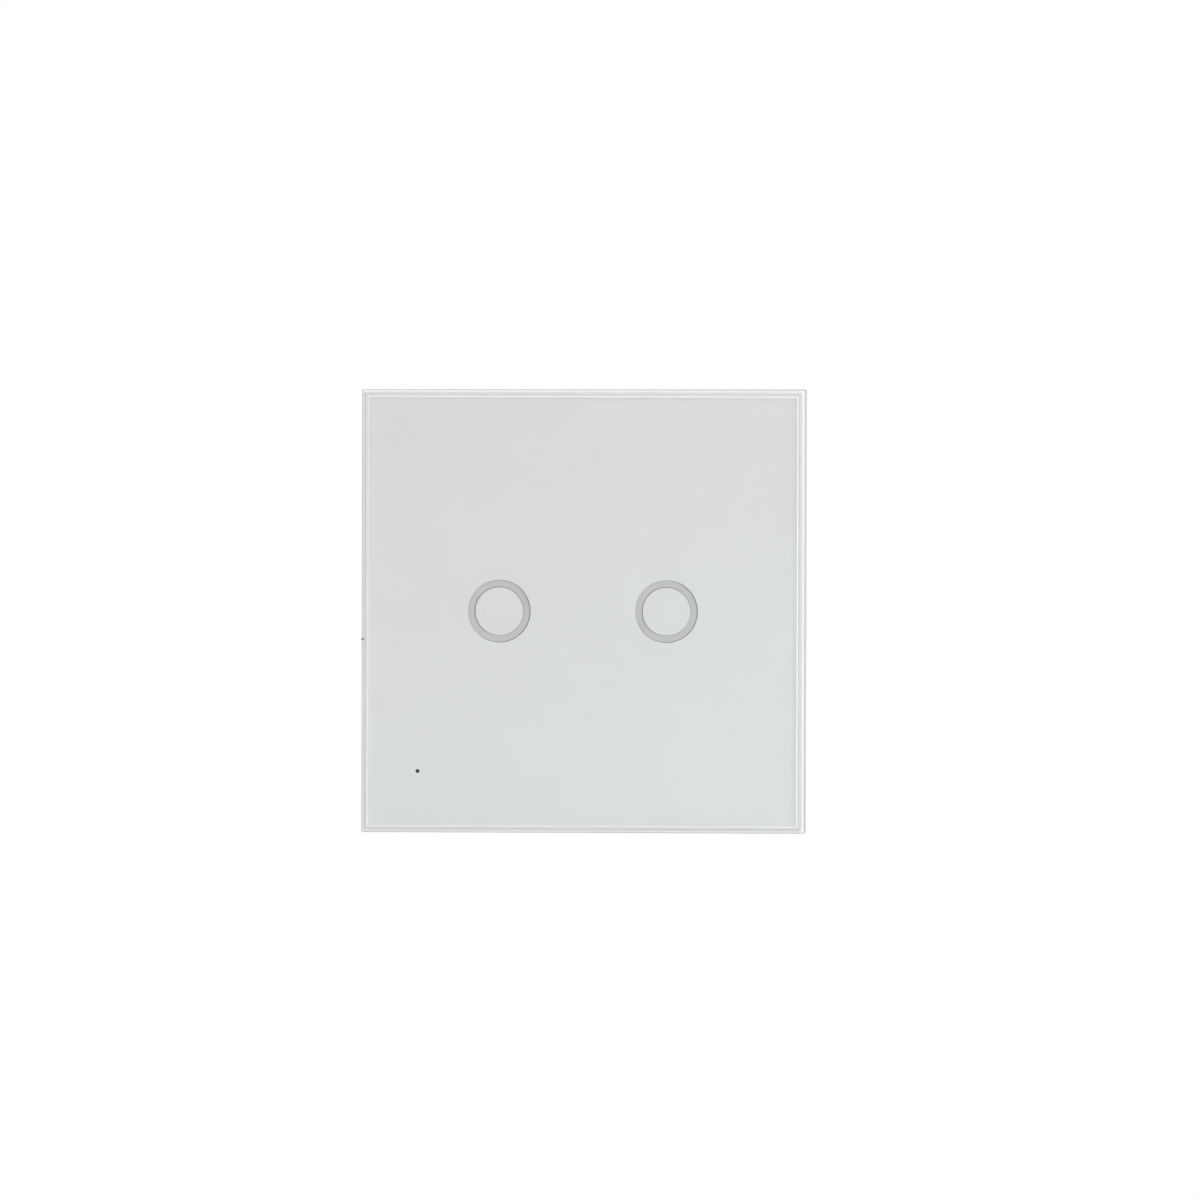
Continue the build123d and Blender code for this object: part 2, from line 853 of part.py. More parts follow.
def relay_pins(x):
    """Every pin of a relay as its place on the board and its two widths."""
    far_blade = relay_half - relay_wall - blade_inset - blade_thickness / 2
    rest_blade = relay_width / 2 - relay_wall - rest_blade_gap - blade_thickness / 2
    pins = [
        (0, far_blade, pin_width, blade_thickness),
        (rest_blade, contact_w, blade_thickness, pin_width),
        (0, pivot_w, pin_width, yoke_thickness),
        (-coil_pin_x, coil_pin_w, coil_pin_size, coil_pin_size),
        (coil_pin_x, coil_pin_w, coil_pin_size, coil_pin_size),
    ]
    return [(x + place, relay_z - w, width, height) for place, w, width, height in pins]


def pin_post(pin, y_span):
    x, z, width, height = pin
    return block(span(x, width), y_span, span(z, height))


def relay_base(x):
    width = relay_width - 2 * relay_wall - 2 * shank_fit
    length = relay_length - 2 * relay_wall - 2 * shank_fit
    base = relay_box(x, span(0, width), (0, relay_base_thickness), span(0, length))
    through = (power_back - overrun, power_back + relay_base_thickness + overrun)
    for pin_x, pin_z, pin_a, pin_b in relay_pins(x):
        hole = (pin_x, pin_z, pin_a + 2 * shank_fit, pin_b + 2 * shank_fit)
        base -= pin_post(hole, through)
    return base


def relay_yoke(x):
    points = [
        (yoke_back, relay_base_thickness),
        (yoke_back + yoke_foot_length, relay_base_thickness),
        (yoke_back + yoke_foot_length, foot_top),
        (yoke_front, foot_top),
        (yoke_front, yoke_top),
        (yoke_back, yoke_top),
    ]
    tail = pin_post(relay_pins(x)[2], (lead_end, power_back + relay_base_thickness))
    return relay_prism(x, outline(points), yoke_width) + tail


def relay_square(x, size, h_span):
    """A square block of the relay's coil, centred on the core."""
    return relay_box(x, span(0, size), h_span, span(coil_w, size))


def relay_bobbin(x):
    lower = relay_square(x, bobbin_size, (foot_top, coil_bottom))
    upper = relay_square(x, bobbin_size, (coil_top, flange_top))
    barrel = relay_square(x, barrel_size, (foot_top, flange_top))
    bore = relay_square(x, core_size + 2 * shank_fit, (0, relay_height))
    return lower + upper + barrel - bore


def relay_coil(x):
    """The winding on the square barrel, and the two pins that it ends on."""
    face = RectangleRounded(coil_size, coil_size, coil_corner)
    face -= Rectangle(barrel_size + 2 * shank_fit, barrel_size + 2 * shank_fit)
    near = Pos(x, power_back + coil_bottom, relay_z - coil_w) * (Plane.XZ * face)
    winding = extrude(near, amount=coil_bottom - coil_top)
    top = power_back + foot_top
    return [winding] + [pin_post(pin, (lead_end, top)) for pin in relay_pins(x)[3:]]


def relay_core(x):
    shaft = relay_square(x, core_size, (foot_top, pole_top))
    return shaft + relay_square(x, pole_size, (flange_top, pole_top))


def relay_armature(x):
    top = pivot_h + armature_thickness
    corners = [(yoke_back, pivot_h), (armature_end, pivot_h), (armature_end, top), (yoke_back, top)]
    return relay_prism(x, outline([opened(*corner) for corner in corners]), yoke_width)


def contact_spring(x):
    """The leaf that carries the moving contact, with its foot down the back of the yoke."""
    heel = opened(yoke_back - leaf_gap - leaf_thickness / 2, leaf_h)
    tip = opened(relay_half - relay_wall - leaf_end_gap, leaf_h)
    points = [(heel[0], pivot_h - leaf_tail), heel, tip]
    leaf = relay_prism(x, strip(points, leaf_thickness), leaf_width)
    button_points = [
        opened(contact_w - contact_radius, leaf_h - contact_half_height),
        opened(contact_w + contact_radius, leaf_h - contact_half_height),
        opened(contact_w + contact_radius, leaf_h + contact_above),
        opened(contact_w - contact_radius, leaf_h + contact_above),
    ]
    return leaf + relay_prism(x, outline(button_points), 2 * contact_radius)


def closed_contact(x):
    """The fixed contact that the relay closes on, with its blade down to the board."""
    face = leaf_h - contact_half_height - contact_rest_gap
    arm_top = face - fixed_contact_height
    far = relay_half - relay_wall - blade_inset
    points = [
        (far, relay_base_thickness),
        (far, arm_top),
        (contact_w - fixed_contact_size / 2, arm_top),
        (contact_w - fixed_contact_size / 2, arm_top - blade_thickness),
        (far - blade_thickness, arm_top - blade_thickness),
        (far - blade_thickness, relay_base_thickness),
    ]
    blade = relay_prism(x, outline(points), blade_width)
    pad = span(contact_w, fixed_contact_size)
    button = relay_box(x, span(0, fixed_contact_size), (arm_top, face), pad)
    tail = pin_post(relay_pins(x)[0], (lead_end, power_back + relay_base_thickness))
    return blade + button + tail


def rest_contact(x):
    """The fixed contact that the spring lies under at rest, on a blade at the side."""
    corner = opened(contact_w + contact_radius, leaf_h + contact_above)
    face = corner[1] + contact_rest_gap
    arm_bottom = face + fixed_contact_height
    arm_top = arm_bottom + blade_thickness
    side = relay_width / 2 - relay_wall - rest_blade_gap
    length = span(contact_w, rest_blade_width)
    blade = relay_box(x, (side - blade_thickness, side), (relay_base_thickness, arm_top), length)
    arm = relay_box(x, (-fixed_contact_size / 2, side), (arm_bottom, arm_top), length)
    pad = span(contact_w, fixed_contact_size)
    button = relay_box(x, span(0, fixed_contact_size), (face, arm_bottom), pad)
    tail = pin_post(relay_pins(x)[1], (lead_end, power_back + relay_base_thickness))
    return blade + arm + button + tail


# Supply parts on the power board

core_thickness = 5.0
core_yoke = 3.4
core_leg = 1.5
core_centre_leg = 4.0
core_lift = 0.8
bobbin_wall = 0.7
bobbin_flange = 0.8
winding_gap = 0.35
flange_reach = 12.4
foot_width = 2.4
foot_height = 3.4
transformer_pin_size = 0.7
transformer_pin_share = 0.5
winding_round = 1.2

can_bevel = 0.4
can_lead_size = 0.6
can_lead_share = 0.45
suppression_round = 0.3
suppression_lead_share = 0.75
suppression_lead_size = 0.6
fuse_lead_share = 0.6
fuse_lead_size = 0.6
varistor_lift = 1.2
varistor_lead_share = 0.6
varistor_lead_size = 0.6
varistor_bevel = 0.8
fuse_bevel = 0.6


def supply_row():
    """The middle of each part in the supply row, from left to right."""
    places = []
    left = -supply_row_width / 2
    for width in supply_widths:
        places.append(left + width / 2)
        left += width + supply_gap
    return places


transformer_x, input_x, output_x, suppression_x, fuse_x = supply_row()
core_height = transformer_height - core_lift
core_middle = power_back + core_lift + core_height / 2
window_height = (core_height - 2 * core_leg - core_centre_leg) / 2
window_width = transformer_width - 2 * core_yoke
flange_height = core_centre_leg + 2 * window_height - 2 * part_fit
foot_inner = core_thickness / 2 + part_fit
varistor_z = relay_z


def transformer_core():
    depth = span(supply_z, core_thickness)
    core = block(span(transformer_x, transformer_width), span(core_middle, core_height), depth)
    offset = (core_centre_leg + window_height) / 2
    for side in (-1, 1):
        window = span(core_middle + side * offset, window_height)
        core -= block(span(transformer_x, window_width), window, (depth[0] - overrun, depth[1] + overrun))
    return core


def transformer_feet():
    """The four feet of the transformer's bobbin: limits along X, then limits along Z."""
    feet = []
    outer_x = window_width / 2 - part_fit
    for side, level in four(1, 1):
        x_limits = sorted((side * (outer_x - foot_width), side * outer_x))
        z_limits = sorted((level * foot_inner, level * flange_reach / 2))
        place_x = tuple(transformer_x + limit for limit in x_limits)
        place_z = tuple(supply_z + limit for limit in z_limits)
        feet.append((place_x, place_z))
    return feet


def transformer_pin_sites():
    sites = []
    for x_limits, z_limits in transformer_feet():
        x = sum(x_limits) / 2
        z = sum(z_limits) / 2
        sites.append((x, z, transformer_pin_size, transformer_pin_size))
    return sites


def transformer_bobbin():
    outer_x = window_width / 2 - part_fit
    bore_height = core_centre_leg + 2 * shank_fit
    bore_depth = core_thickness + 2 * shank_fit
    tube_height = span(core_middle, bore_height + 2 * bobbin_wall)
    tube_depth = span(supply_z, bore_depth + 2 * bobbin_wall)
    bobbin = block(span(transformer_x, 2 * outer_x), tube_height, tube_depth)
    for side in (-1, 1):
        x_limits = sorted((side * outer_x, side * (outer_x - bobbin_flange)))
        flange_x = tuple(transformer_x + limit for limit in x_limits)
        bobbin += block(flange_x, span(core_middle, flange_height), span(supply_z, flange_reach))
    foot_top_y = core_middle - flange_height / 2 + foot_height
    for x_limits, z_limits in transformer_feet():
        bobbin += block(x_limits, (power_back, foot_top_y - foot_height / 2), z_limits)
    bore_x = (transformer_x - transformer_width, transformer_x + transformer_width)
    bobbin -= block(bore_x, span(core_middle, bore_height), span(supply_z, bore_depth))
    for site in transformer_pin_sites():
        bobbin += pin_post(site, (lead_end, power_back))
    return bobbin


def transformer_winding():
    length = 2 * (window_width / 2 - part_fit - bobbin_flange)
    inner_height = core_centre_leg + 2 * (bobbin_wall + 2 * shank_fit)
    inner_depth = core_thickness + 2 * (bobbin_wall + 2 * shank_fit)
    outer_height = flange_height - 2 * winding_gap
    outer_depth = flange_reach - 2 * winding_gap
    face = RectangleRounded(outer_height, outer_depth, winding_round)
    face -= Rectangle(inner_height, inner_depth)
    plane = Plane(origin=(transformer_x, core_middle, supply_z), x_dir=(0, 1, 0), z_dir=(1, 0, 0))
    winding = prism(face, plane, length)
    # The winding parts round the feet, which stand beside it
    for x_limits, z_limits in transformer_feet():
        grown_z = (z_limits[0] - close_fit, z_limits[1] + overrun)
        if z_limits[1] < supply_z:
            grown_z = (z_limits[0] - overrun, z_limits[1] + close_fit)
        grown_x = (x_limits[0] - close_fit, x_limits[1] + close_fit)
        foot_end = core_middle - flange_height / 2 + foot_height / 2 + close_fit
        winding -= block(grown_x, (power_back, foot_end), grown_z)
    return winding


def can_lead_sites(x, diameter):
    offset = diameter * can_lead_share / 2
    return [(x, supply_z + side * offset, can_lead_size, can_lead_size) for side in (-1, 1)]


def can_capacitor(x, diameter, height):
    """A round can on two leads."""
    can = disc(diameter / 2, (power_back, power_back + height), x, supply_z)
    can = chamfer(can.faces().sort_by(Axis.Y)[-1].edges(), can_bevel)
    return can + [pin_post(site, (lead_end, power_back)) for site in can_lead_sites(x, diameter)]


def pair_sites(x, z, spacing, size):
    return [(x, z + side * spacing / 2, size, size) for side in (-1, 1)]


def suppression_sites():
    return pair_sites(
        suppression_x, supply_z, suppression_depth * suppression_lead_share, suppression_lead_size
    )


def suppression_capacitor():
    x_limits = span(suppression_x, suppression_width)
    z_limits = span(supply_z, suppression_depth)
    body = block(x_limits, (power_back, power_back + suppression_height), z_limits)
    body = fillet(body.edges().filter_by(Axis.Y), suppression_round)
    return body + [pin_post(site, (lead_end, power_back)) for site in suppression_sites()]


def fuse_sites():
    return pair_sites(fuse_x, supply_z, fuse_depth * fuse_lead_share, fuse_lead_size)


def fuse():
    depth = (power_back, power_back + fuse_height)
    body = block(span(fuse_x, fuse_width), depth, span(supply_z, fuse_depth))
    body = chamfer(body.faces().sort_by(Axis.Y)[-1].edges(), fuse_bevel)
    return body + [pin_post(site, (lead_end, power_back)) for site in fuse_sites()]


def varistor_sites():
    return pair_sites(0, varistor_z, varistor_diameter * varistor_lead_share, varistor_lead_size)


def varistor():
    """A coated disc that stands on edge on its two leads."""
    middle = power_back + varistor_lift + varistor_diameter / 2
    plane = Plane(origin=(0, middle, varistor_z), x_dir=(0, 1, 0), z_dir=(1, 0, 0))
    body = prism(Circle(varistor_diameter / 2), plane, varistor_thickness)
    body = chamfer(body.edges().filter_by(GeomType.CIRCLE), varistor_bevel)
    return body + [pin_post(site, (lead_end, middle)) for site in varistor_sites()]


def bridge_rectifier():
    depth = (power_front - bridge_height, power_front)
    body = block(span(-relay_x, bridge_length), depth, span(relay_z, bridge_width))
    return chamfer(body.faces().sort_by(Axis.Y)[0].edges(), bridge_height * chip_bevel_share)


def converter_chip():
    depth = (power_front - converter_height, power_front)
    body = block(span(relay_x, converter_length), depth, span(relay_z, converter_width))
    return chamfer(body.faces().sort_by(Axis.Y)[0].edges(), converter_height * chip_bevel_share)


# Terminal block: rising cages, each drawn up by a screw against a fixed tongue

divider_wall = 1.2
entry_wall = 1.6
cage_gap = 0.2
cage_rest_gap = 0.3
cage_floor = 1.0
cage_side = 0.8
cage_top = 1.6
cage_travel = 2.5
wire_space = 3.4
tongue_thickness = 0.8
tongue_gap = 0.25
tongue_cage_gap = 0.2
tongue_end_gap = 0.2
tongue_tail_width = 1.4
tongue_back_wall = 0.8
cage_length = 6.0
terminal_screw_radius = 1.45
terminal_head_radius = 2.4
terminal_head_height = 1.5
head_gap = 0.1
driver_hole_radius = 2.0
terminal_roof = 0.7
entry_radius = 1.9

cavity_width = terminal_pitch - divider_wall
cage_width = cavity_width - 2 * cage_gap
tongue_width = cage_width - 2 * (cage_side + tongue_gap)
cage_front = power_back + cage_rest_gap
wire_front = cage_front + cage_floor
tongue_front = wire_front + wire_space
tongue_back = tongue_front + tongue_thickness
cage_lid = tongue_back + tongue_cage_gap
cage_back = cage_lid + cage_top
cavity_back = cage_back + cage_travel + cage_gap
head_seat = cavity_back + head_gap
head_top = head_seat + terminal_head_height
head_space = head_top + head_gap
terminal_height = head_space + terminal_roof - power_back
entry_z = housing_bottom + entry_wall
cage_z = entry_z + cage_gap + cage_length / 2
cavity_end = cage_z + cage_length / 2 + cage_gap
tongue_end = housing_bottom + terminal_depth - tongue_back_wall
wire_middle = wire_front + wire_space / 2


def terminal_places():
    first = -terminal_pitch * (terminal_count - 1) / 2
    return [first + terminal_pitch * index for index in range(terminal_count)]


def tongue_sites():
    z = tongue_end - tongue_thickness / 2
    return [(x, z, tongue_tail_width, tongue_thickness) for x in terminal_places()]


def terminal_housing():
    depth = (power_back, power_back + terminal_height)
    z_limits = (housing_bottom, housing_bottom + terminal_depth)
    body = block(span(0, terminal_width), depth, z_limits)
    for x in terminal_places():
        body -= block(span(x, cavity_width), (power_back - overrun, cavity_back), (entry_z, cavity_end))
        head_pocket = 2 * (terminal_head_radius + part_fit)
        body -= square_pin(head_pocket, (cavity_back - overrun, head_space), x, cage_z)
        body -= disc(driver_hole_radius, (head_space - overrun, depth[1] + overrun), x, cage_z)
        body -= Pos(x, wire_middle, entry_z) * Cylinder(entry_radius, 2 * entry_wall + overrun)
        # Slot for the tongue and its leg
        tongue_slot = span(x, tongue_width + 2 * close_fit)
        level = (tongue_front - close_fit, tongue_back + close_fit)
        body -= block(tongue_slot, level, (entry_z, tongue_end + close_fit))
        leg = (tongue_end - tongue_thickness - close_fit, tongue_end + close_fit)
        body -= block(tongue_slot, (power_back - overrun, level[1]), leg)
    return body


def terminal_tongues():
    tongues = []
    for x, z, width, thickness in tongue_sites():
        bar_z = (entry_z + tongue_end_gap, tongue_end)
        bar = block(span(x, tongue_width), (tongue_front, tongue_back), bar_z)
        leg_z = (tongue_end - tongue_thickness, tongue_end)
        leg = block(span(x, tongue_width), (power_back, tongue_back), leg_z)
        tail = pin_post((x, z, width, thickness), (lead_end, power_back))
        tongues.append(bar + leg + tail)
    return tongues


def clamp_cage(x):
    """A square loop with a threaded lid, round the wire space and the tongue."""
    length = span(cage_z, cage_length)
    cage = block(span(x, cage_width), (cage_front, cage_back), length)
    long = (length[0] - overrun, length[1] + overrun)
    cage -= block(span(x, cage_width - 2 * cage_side), (wire_front, cage_lid), long)
    lid = (cage_lid - overrun, cage_back + overrun)
    return cage - disc(terminal_screw_radius + shank_fit, lid, x, cage_z)


def terminal_screw(x):
    head = (terminal_head_radius, head_seat, terminal_head_height)
    return screw(terminal_screw_radius, tongue_back + close_fit, *head, x, cage_z)


def lead_sites():
    """Every lead that passes through the power board: place, then widths along X and Z."""
    sites = []
    for x in relay_places():
        sites += relay_pins(x)
    sites += transformer_pin_sites()
    sites += can_lead_sites(input_x, input_capacitor_diameter)
    sites += can_lead_sites(output_x, output_capacitor_diameter)
    sites += suppression_sites()
    sites += fuse_sites()
    sites += varistor_sites()
    sites += tongue_sites()
    sites += [(x, z, header_pin_size, header_pin_size) for x, z in header_places()]
    return sites


def all_nodes():
    left, right = relay_places()
    nodes = {
        "glass_panel": glass_panel(),
        "back_print": back_print(),
        "adhesive_sheet": adhesive_sheet(),
        "panel_frame": panel_frame(),
        "light_ring_left": light_ring(*key_places[0]),
        "light_ring_right": light_ring(*key_places[1]),
        "indicator_light_pipe": indicator_light_pipe(),
        "touch_board": touch_board(),
        "touch_pads": touch_pads(),
        "ring_leds": ring_leds(),
        "indicator_led": led_body(indicator_x, indicator_z),
        "touch_controller": touch_controller(),
        "radio_board": radio_board(),
        "radio_shield": radio_shield(),
        "radio_antenna": radio_antenna(),
        "header_strip": header_strip(),
        "header_pins": header_pins(),
        "panel_screws": panel_screws(),
        "base_plate": base_plate(),
        "retaining_clips": retaining_clips(),
        "rear_housing": rear_housing(),
        "housing_screws": housing_screws(),
        "power_board": power_board(),
        "header_socket": header_socket(),
        "relay_cases": [relay_case(x) for x in (left, right)],
        "relay_bases": [relay_base(x) for x in (left, right)],
        "relay_yokes": [relay_yoke(x) for x in (left, right)],
        "relay_bobbins": [relay_bobbin(x) for x in (left, right)],
        "relay_coils": relay_coil(left) + relay_coil(right),
        "relay_cores": [relay_core(x) for x in (left, right)],
        "relay_fixed_contacts": [
            closed_contact(left), rest_contact(left), closed_contact(right), rest_contact(right)
        ],
        "relay_armature_left": relay_armature(left),
        "relay_armature_right": relay_armature(right),
        "contact_spring_left": contact_spring(left),
        "contact_spring_right": contact_spring(right),
        "transformer_core": transformer_core(),
        "transformer_bobbin": transformer_bobbin(),
        "transformer_winding": transformer_winding(),
        "input_capacitor": can_capacitor(input_x, input_capacitor_diameter, input_capacitor_height),
        "output_capacitor": can_capacitor(output_x, output_capacitor_diameter, output_capacitor_height),
        "suppression_capacitor": suppression_capacitor(),
        "fuse": fuse(),
        "varistor": varistor(),
        "bridge_rectifier": bridge_rectifier(),
        "converter_chip": converter_chip(),
        "terminal_housing": terminal_housing(),
        "terminal_tongues": terminal_tongues(),
    }
    for number, x in enumerate(terminal_places(), start=1):
        nodes[f"terminal_screw_{number}"] = terminal_screw(x)
        nodes[f"clamp_cage_{number}"] = clamp_cage(x)
    return nodes


def save(name, shapes):
    """Write one node, as one solid or as a group of solids."""
    group = shapes if isinstance(shapes, list) else [shapes]
    solids = [solid for shape in group for solid in shape.solids()]
    whole = solids[0] if len(solids) == 1 else Compound(solids)
    export_step(whole, f"parts/{name}.step")


os.makedirs("parts", exist_ok=True)
for node_name, node_shapes in all_nodes().items():
    save(node_name, node_shapes)
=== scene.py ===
import json
import math

import bmesh
import bpy
from mathutils import Matrix, Vector

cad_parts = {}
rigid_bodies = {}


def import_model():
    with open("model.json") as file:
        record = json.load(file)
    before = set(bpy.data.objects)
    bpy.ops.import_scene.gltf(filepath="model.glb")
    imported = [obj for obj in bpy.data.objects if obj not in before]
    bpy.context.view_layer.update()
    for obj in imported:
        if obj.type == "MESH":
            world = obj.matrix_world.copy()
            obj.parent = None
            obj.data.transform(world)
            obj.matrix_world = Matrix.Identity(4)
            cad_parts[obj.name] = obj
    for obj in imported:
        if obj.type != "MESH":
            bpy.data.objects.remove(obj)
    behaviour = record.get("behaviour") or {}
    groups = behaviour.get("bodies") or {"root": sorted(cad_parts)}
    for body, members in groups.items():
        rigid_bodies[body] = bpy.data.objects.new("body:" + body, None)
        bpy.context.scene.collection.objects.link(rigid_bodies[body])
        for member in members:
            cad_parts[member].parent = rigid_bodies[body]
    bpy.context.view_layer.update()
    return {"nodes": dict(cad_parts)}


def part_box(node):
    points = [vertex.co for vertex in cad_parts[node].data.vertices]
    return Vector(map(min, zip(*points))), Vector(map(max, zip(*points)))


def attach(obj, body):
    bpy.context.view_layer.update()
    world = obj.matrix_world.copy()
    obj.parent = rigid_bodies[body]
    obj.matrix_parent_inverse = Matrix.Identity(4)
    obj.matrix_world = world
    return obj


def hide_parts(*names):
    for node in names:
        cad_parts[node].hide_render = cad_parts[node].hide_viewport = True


for old in list(bpy.data.objects):
    bpy.data.objects.remove(old)

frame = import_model()
nodes = frame["nodes"]
mm = 0.001
scene = bpy.context.scene


def box_mm(node_name):
    """The low and the high corner of a node, in mm."""
    return [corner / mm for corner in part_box(node_name)]


# Materials

cloud_size = 9.0 * mm
wave_crest = 0.314


def fill_in(tree, node, inputs):
    """Links each input to a socket, or sets its value."""
    for name, value in inputs.items():
        if isinstance(value, bpy.types.NodeSocket):
            tree.links.new(value, node.inputs[name])
        else:
            node.inputs[name].default_value = value


def add_node(tree, kind, inputs):
    node = tree.nodes.new(kind)
    fill_in(tree, node, inputs)
    return node


def shader_tree(name):
    material = bpy.data.materials.new(name)
    material.use_nodes = True
    tree = material.node_tree
    tree.nodes.clear()
    body = tree.nodes.new("ShaderNodeBsdfPrincipled")
    out = add_node(tree, "ShaderNodeOutputMaterial", {0: body.outputs[0]})
    return material, tree, body, out


def coordinates(tree, stretch=(1, 1, 1)):
    place = tree.nodes.new("ShaderNodeTexCoord").outputs["Object"]
    return add_node(tree, "ShaderNodeMapping", {"Vector": place, "Scale": stretch}).outputs[0]


def noise(tree, vector, size, detail=3.0):
    inputs = {"Vector": vector, "Scale": 1.0 / size, "Detail": detail, "Roughness": 0.55}
    return add_node(tree, "ShaderNodeTexNoise", inputs).outputs[0]


def waves(tree, vector, direction, pitch, distortion, detail):
    """Parallel waves with one crest for each pitch, in mm."""
    scale = wave_crest / (pitch * mm)
    inputs = {"Vector": vector, "Scale": scale, "Distortion": distortion, "Detail": detail}
    node = add_node(tree, "ShaderNodeTexWave", inputs)
    node.bands_direction = direction
    return node.outputs["Fac"]


def spread(tree, value, low, high, start=0.3, end=0.7):
    """Maps start to low and end to high."""
    inputs = {"Value": value, "From Min": start, "From Max": end, "To Min": low, "To Max": high}
    return add_node(tree, "ShaderNodeMapRange", inputs).outputs[0]


def ramp(tree, value, stops):
    node = add_node(tree, "ShaderNodeValToRGB", {0: value})
    band = node.color_ramp
    while len(band.elements) < len(stops):
        band.elements.new(0.5)
    for element, (place, colour) in zip(band.elements, stops):
        element.position = place
        element.color = (*colour, 1.0)
    return node.outputs[0]


def bump(tree, height, strength, distance):
    inputs = {"Height": height, "Strength": strength, "Distance": distance}
    return add_node(tree, "ShaderNodeBump", inputs).outputs[0]


def arithmetic(tree, kind, first, second=0.0):
    """One sum on two values, each of them a socket or a number."""
    node = add_node(tree, "ShaderNodeMath", {0: first, 1: second})
    node.operation = kind
    return node.outputs[0]


def along(tree, vector, direction):
    """How far a vector reaches in one direction."""
    node = add_node(tree, "ShaderNodeVectorMath", {0: vector, 1: direction})
    node.operation = "DOT_PRODUCT"
    return node.outputs["Value"]


def split(tree, vector):
    return add_node(tree, "ShaderNodeSeparateXYZ", {0: vector}).outputs


def shade(colour, factor):
    return tuple(min(1.0, channel * factor) for channel in colour)


def surface(tree, body, colour, gloss, relief):
    fill_in(tree, body, {"Base Color": colour, "Roughness": gloss, "Normal": relief})


def lacquer(tree, body, weight, rough):
    fill_in(tree, body, {"Coat Weight": weight, "Coat Roughness": rough})


def blend(tree, out, share, first, second):
    """Mixes two shaders by share and links them to the output."""
    mix = add_node(tree, "ShaderNodeMixShader", {0: share, 1: first.outputs[0], 2: second.outputs[0]})
    fill_in(tree, out, {0: mix.outputs[0]})


def moulded(name, colour, rough, change=0.03, grain=0.25, depth=0.012, clear=0.0):
    """Moulded or printed surface: slow colour drift, uneven gloss and a fine mould grain, sizes in mm."""
    material, tree, body, _ = shader_tree(name)
    place = coordinates(tree)
    slow = noise(tree, place, cloud_size, 2.0)
    fine = noise(tree, place, grain * mm, 4.0)
    tint = ramp(tree, slow, [(0.3, shade(colour, 1.0 - change)), (0.7, shade(colour, 1.0 + change))])
    gloss = spread(tree, fine, rough * 0.82, min(1.0, rough * 1.18))
    surface(tree, body, tint, gloss, bump(tree, fine, 0.35, depth * mm))
    if clear:
        lacquer(tree, body, clear, 0.12)
    return material


def printed(name, upper_left_shade, lower_right_light, rough):
    """Fired print with a fine mottle and uneven gloss. Its tone is painted darker towards the top left and
    lighter towards the bottom right, painted light across the plate.
    """
    material, tree, body, _ = shader_tree(name)
    place = coordinates(tree)
    plate_reach = 58.0 * mm
    # Painted light: the tone runs from darker at the top left to lighter at the bottom right.
    drift = spread(tree, along(tree, place, (0.45, 0.0, -1.0)), 0.0, 1.0, -plate_reach, plate_reach)
    cloud = spread(tree, noise(tree, place, 16.0 * mm, 3.0), -0.08, 0.08)
    tint = ramp(tree, arithmetic(tree, "ADD", drift, cloud), [(0.0, upper_left_shade), (1.0, lower_right_light)])
    fine = noise(tree, place, 0.3 * mm, 4.0)
    gloss = spread(tree, fine, rough * 0.85, rough * 1.15)
    surface(tree, body, tint, gloss, bump(tree, fine, 0.3, 0.003 * mm))
    return material


def bezel(name, front_tone, painted_rim_shade, skirt_grey_and_shade, reach, lip):
    """White moulded bezel. Outside of reach, its edge down to the lip is painted dark, painted shade for
    its outline, and its skirt is painted greyer, partly as grey plastic and partly as painted shade.
    """
    material, tree, body, _ = shader_tree(name)
    place = coordinates(tree)
    parts = split(tree, place)
    aside = arithmetic(tree, "ABSOLUTE", parts["X"])
    upward = arithmetic(tree, "ABSOLUTE", parts["Z"])
    outward = arithmetic(tree, "MAXIMUM", aside, upward)
    # Painted shade: beyond reach the edge darkens, and behind the lip the skirt turns greyer.
    tone = spread(tree, outward, 0.0, 1.0, (reach - 0.05) * mm, (reach + 0.05) * mm)
    rear = spread(tree, parts["Y"], 0.0, 1.0, (lip - 0.3) * mm, (lip + 0.3) * mm)
    cloud = spread(tree, noise(tree, place, cloud_size, 2.0), -0.03, 0.03)
    front = ramp(tree, arithmetic(tree, "ADD", tone, cloud), [(0.0, front_tone), (1.0, painted_rim_shade)])
    tint = add_node(tree, "ShaderNodeMix", {0: arithmetic(tree, "MULTIPLY", tone, rear)})
    tint.data_type = "RGBA"
    before, behind = [socket for socket in tint.inputs if socket.type == "RGBA"]
    tree.links.new(front, before)
    behind.default_value = (*skirt_grey_and_shade, 1.0)
    colour = [socket for socket in tint.outputs if socket.type == "RGBA"][0]
    fine = noise(tree, place, 0.22 * mm, 4.0)
    surface(tree, body, colour, spread(tree, fine, 0.3, 0.42), bump(tree, fine, 0.35, 0.006 * mm))
    return material


def metal(name, colour, rough, change=0.1, brushed=(1, 1, 1), scratch=0.12):
    """Metal with fine drawn lines along one direction, faint stains and uneven polish."""
    material, tree, body, _ = shader_tree(name)
    lines = noise(tree, coordinates(tree, brushed), scratch * mm, 3.0)
    stains = noise(tree, coordinates(tree), 2.2 * mm, 4.0)
    stops = [(0.32, shade(colour, 1.0 - change)), (0.68, shade(colour, 1.0 + change * 0.5))]
    gloss = spread(tree, lines, rough * 0.7, rough * 1.35)
    surface(tree, body, ramp(tree, stains, stops), gloss, bump(tree, lines, 0.25, 0.004 * mm))
    fill_in(tree, body, {"Metallic": 1.0})
    return material


def resist(name, mask_and_shadow):
    """Circuit board: glossy solder resist over glass cloth, slightly uneven in tone."""
    material, tree, body, _ = shader_tree(name)
    place = coordinates(tree)
    slow = noise(tree, place, 12.0 * mm, 2.0)
    tint = ramp(tree, slow, [(0.3, shade(mask_and_shadow, 0.85)), (0.7, shade(mask_and_shadow, 1.15))])
    cloth = waves(tree, place, "DIAGONAL", 0.5, 2.0, 2.0)
    gloss = spread(tree, cloth, 0.29, 0.32, 0.0, 1.0)
    surface(tree, body, tint, gloss, bump(tree, cloth, 0.05, 0.004 * mm))
    return material


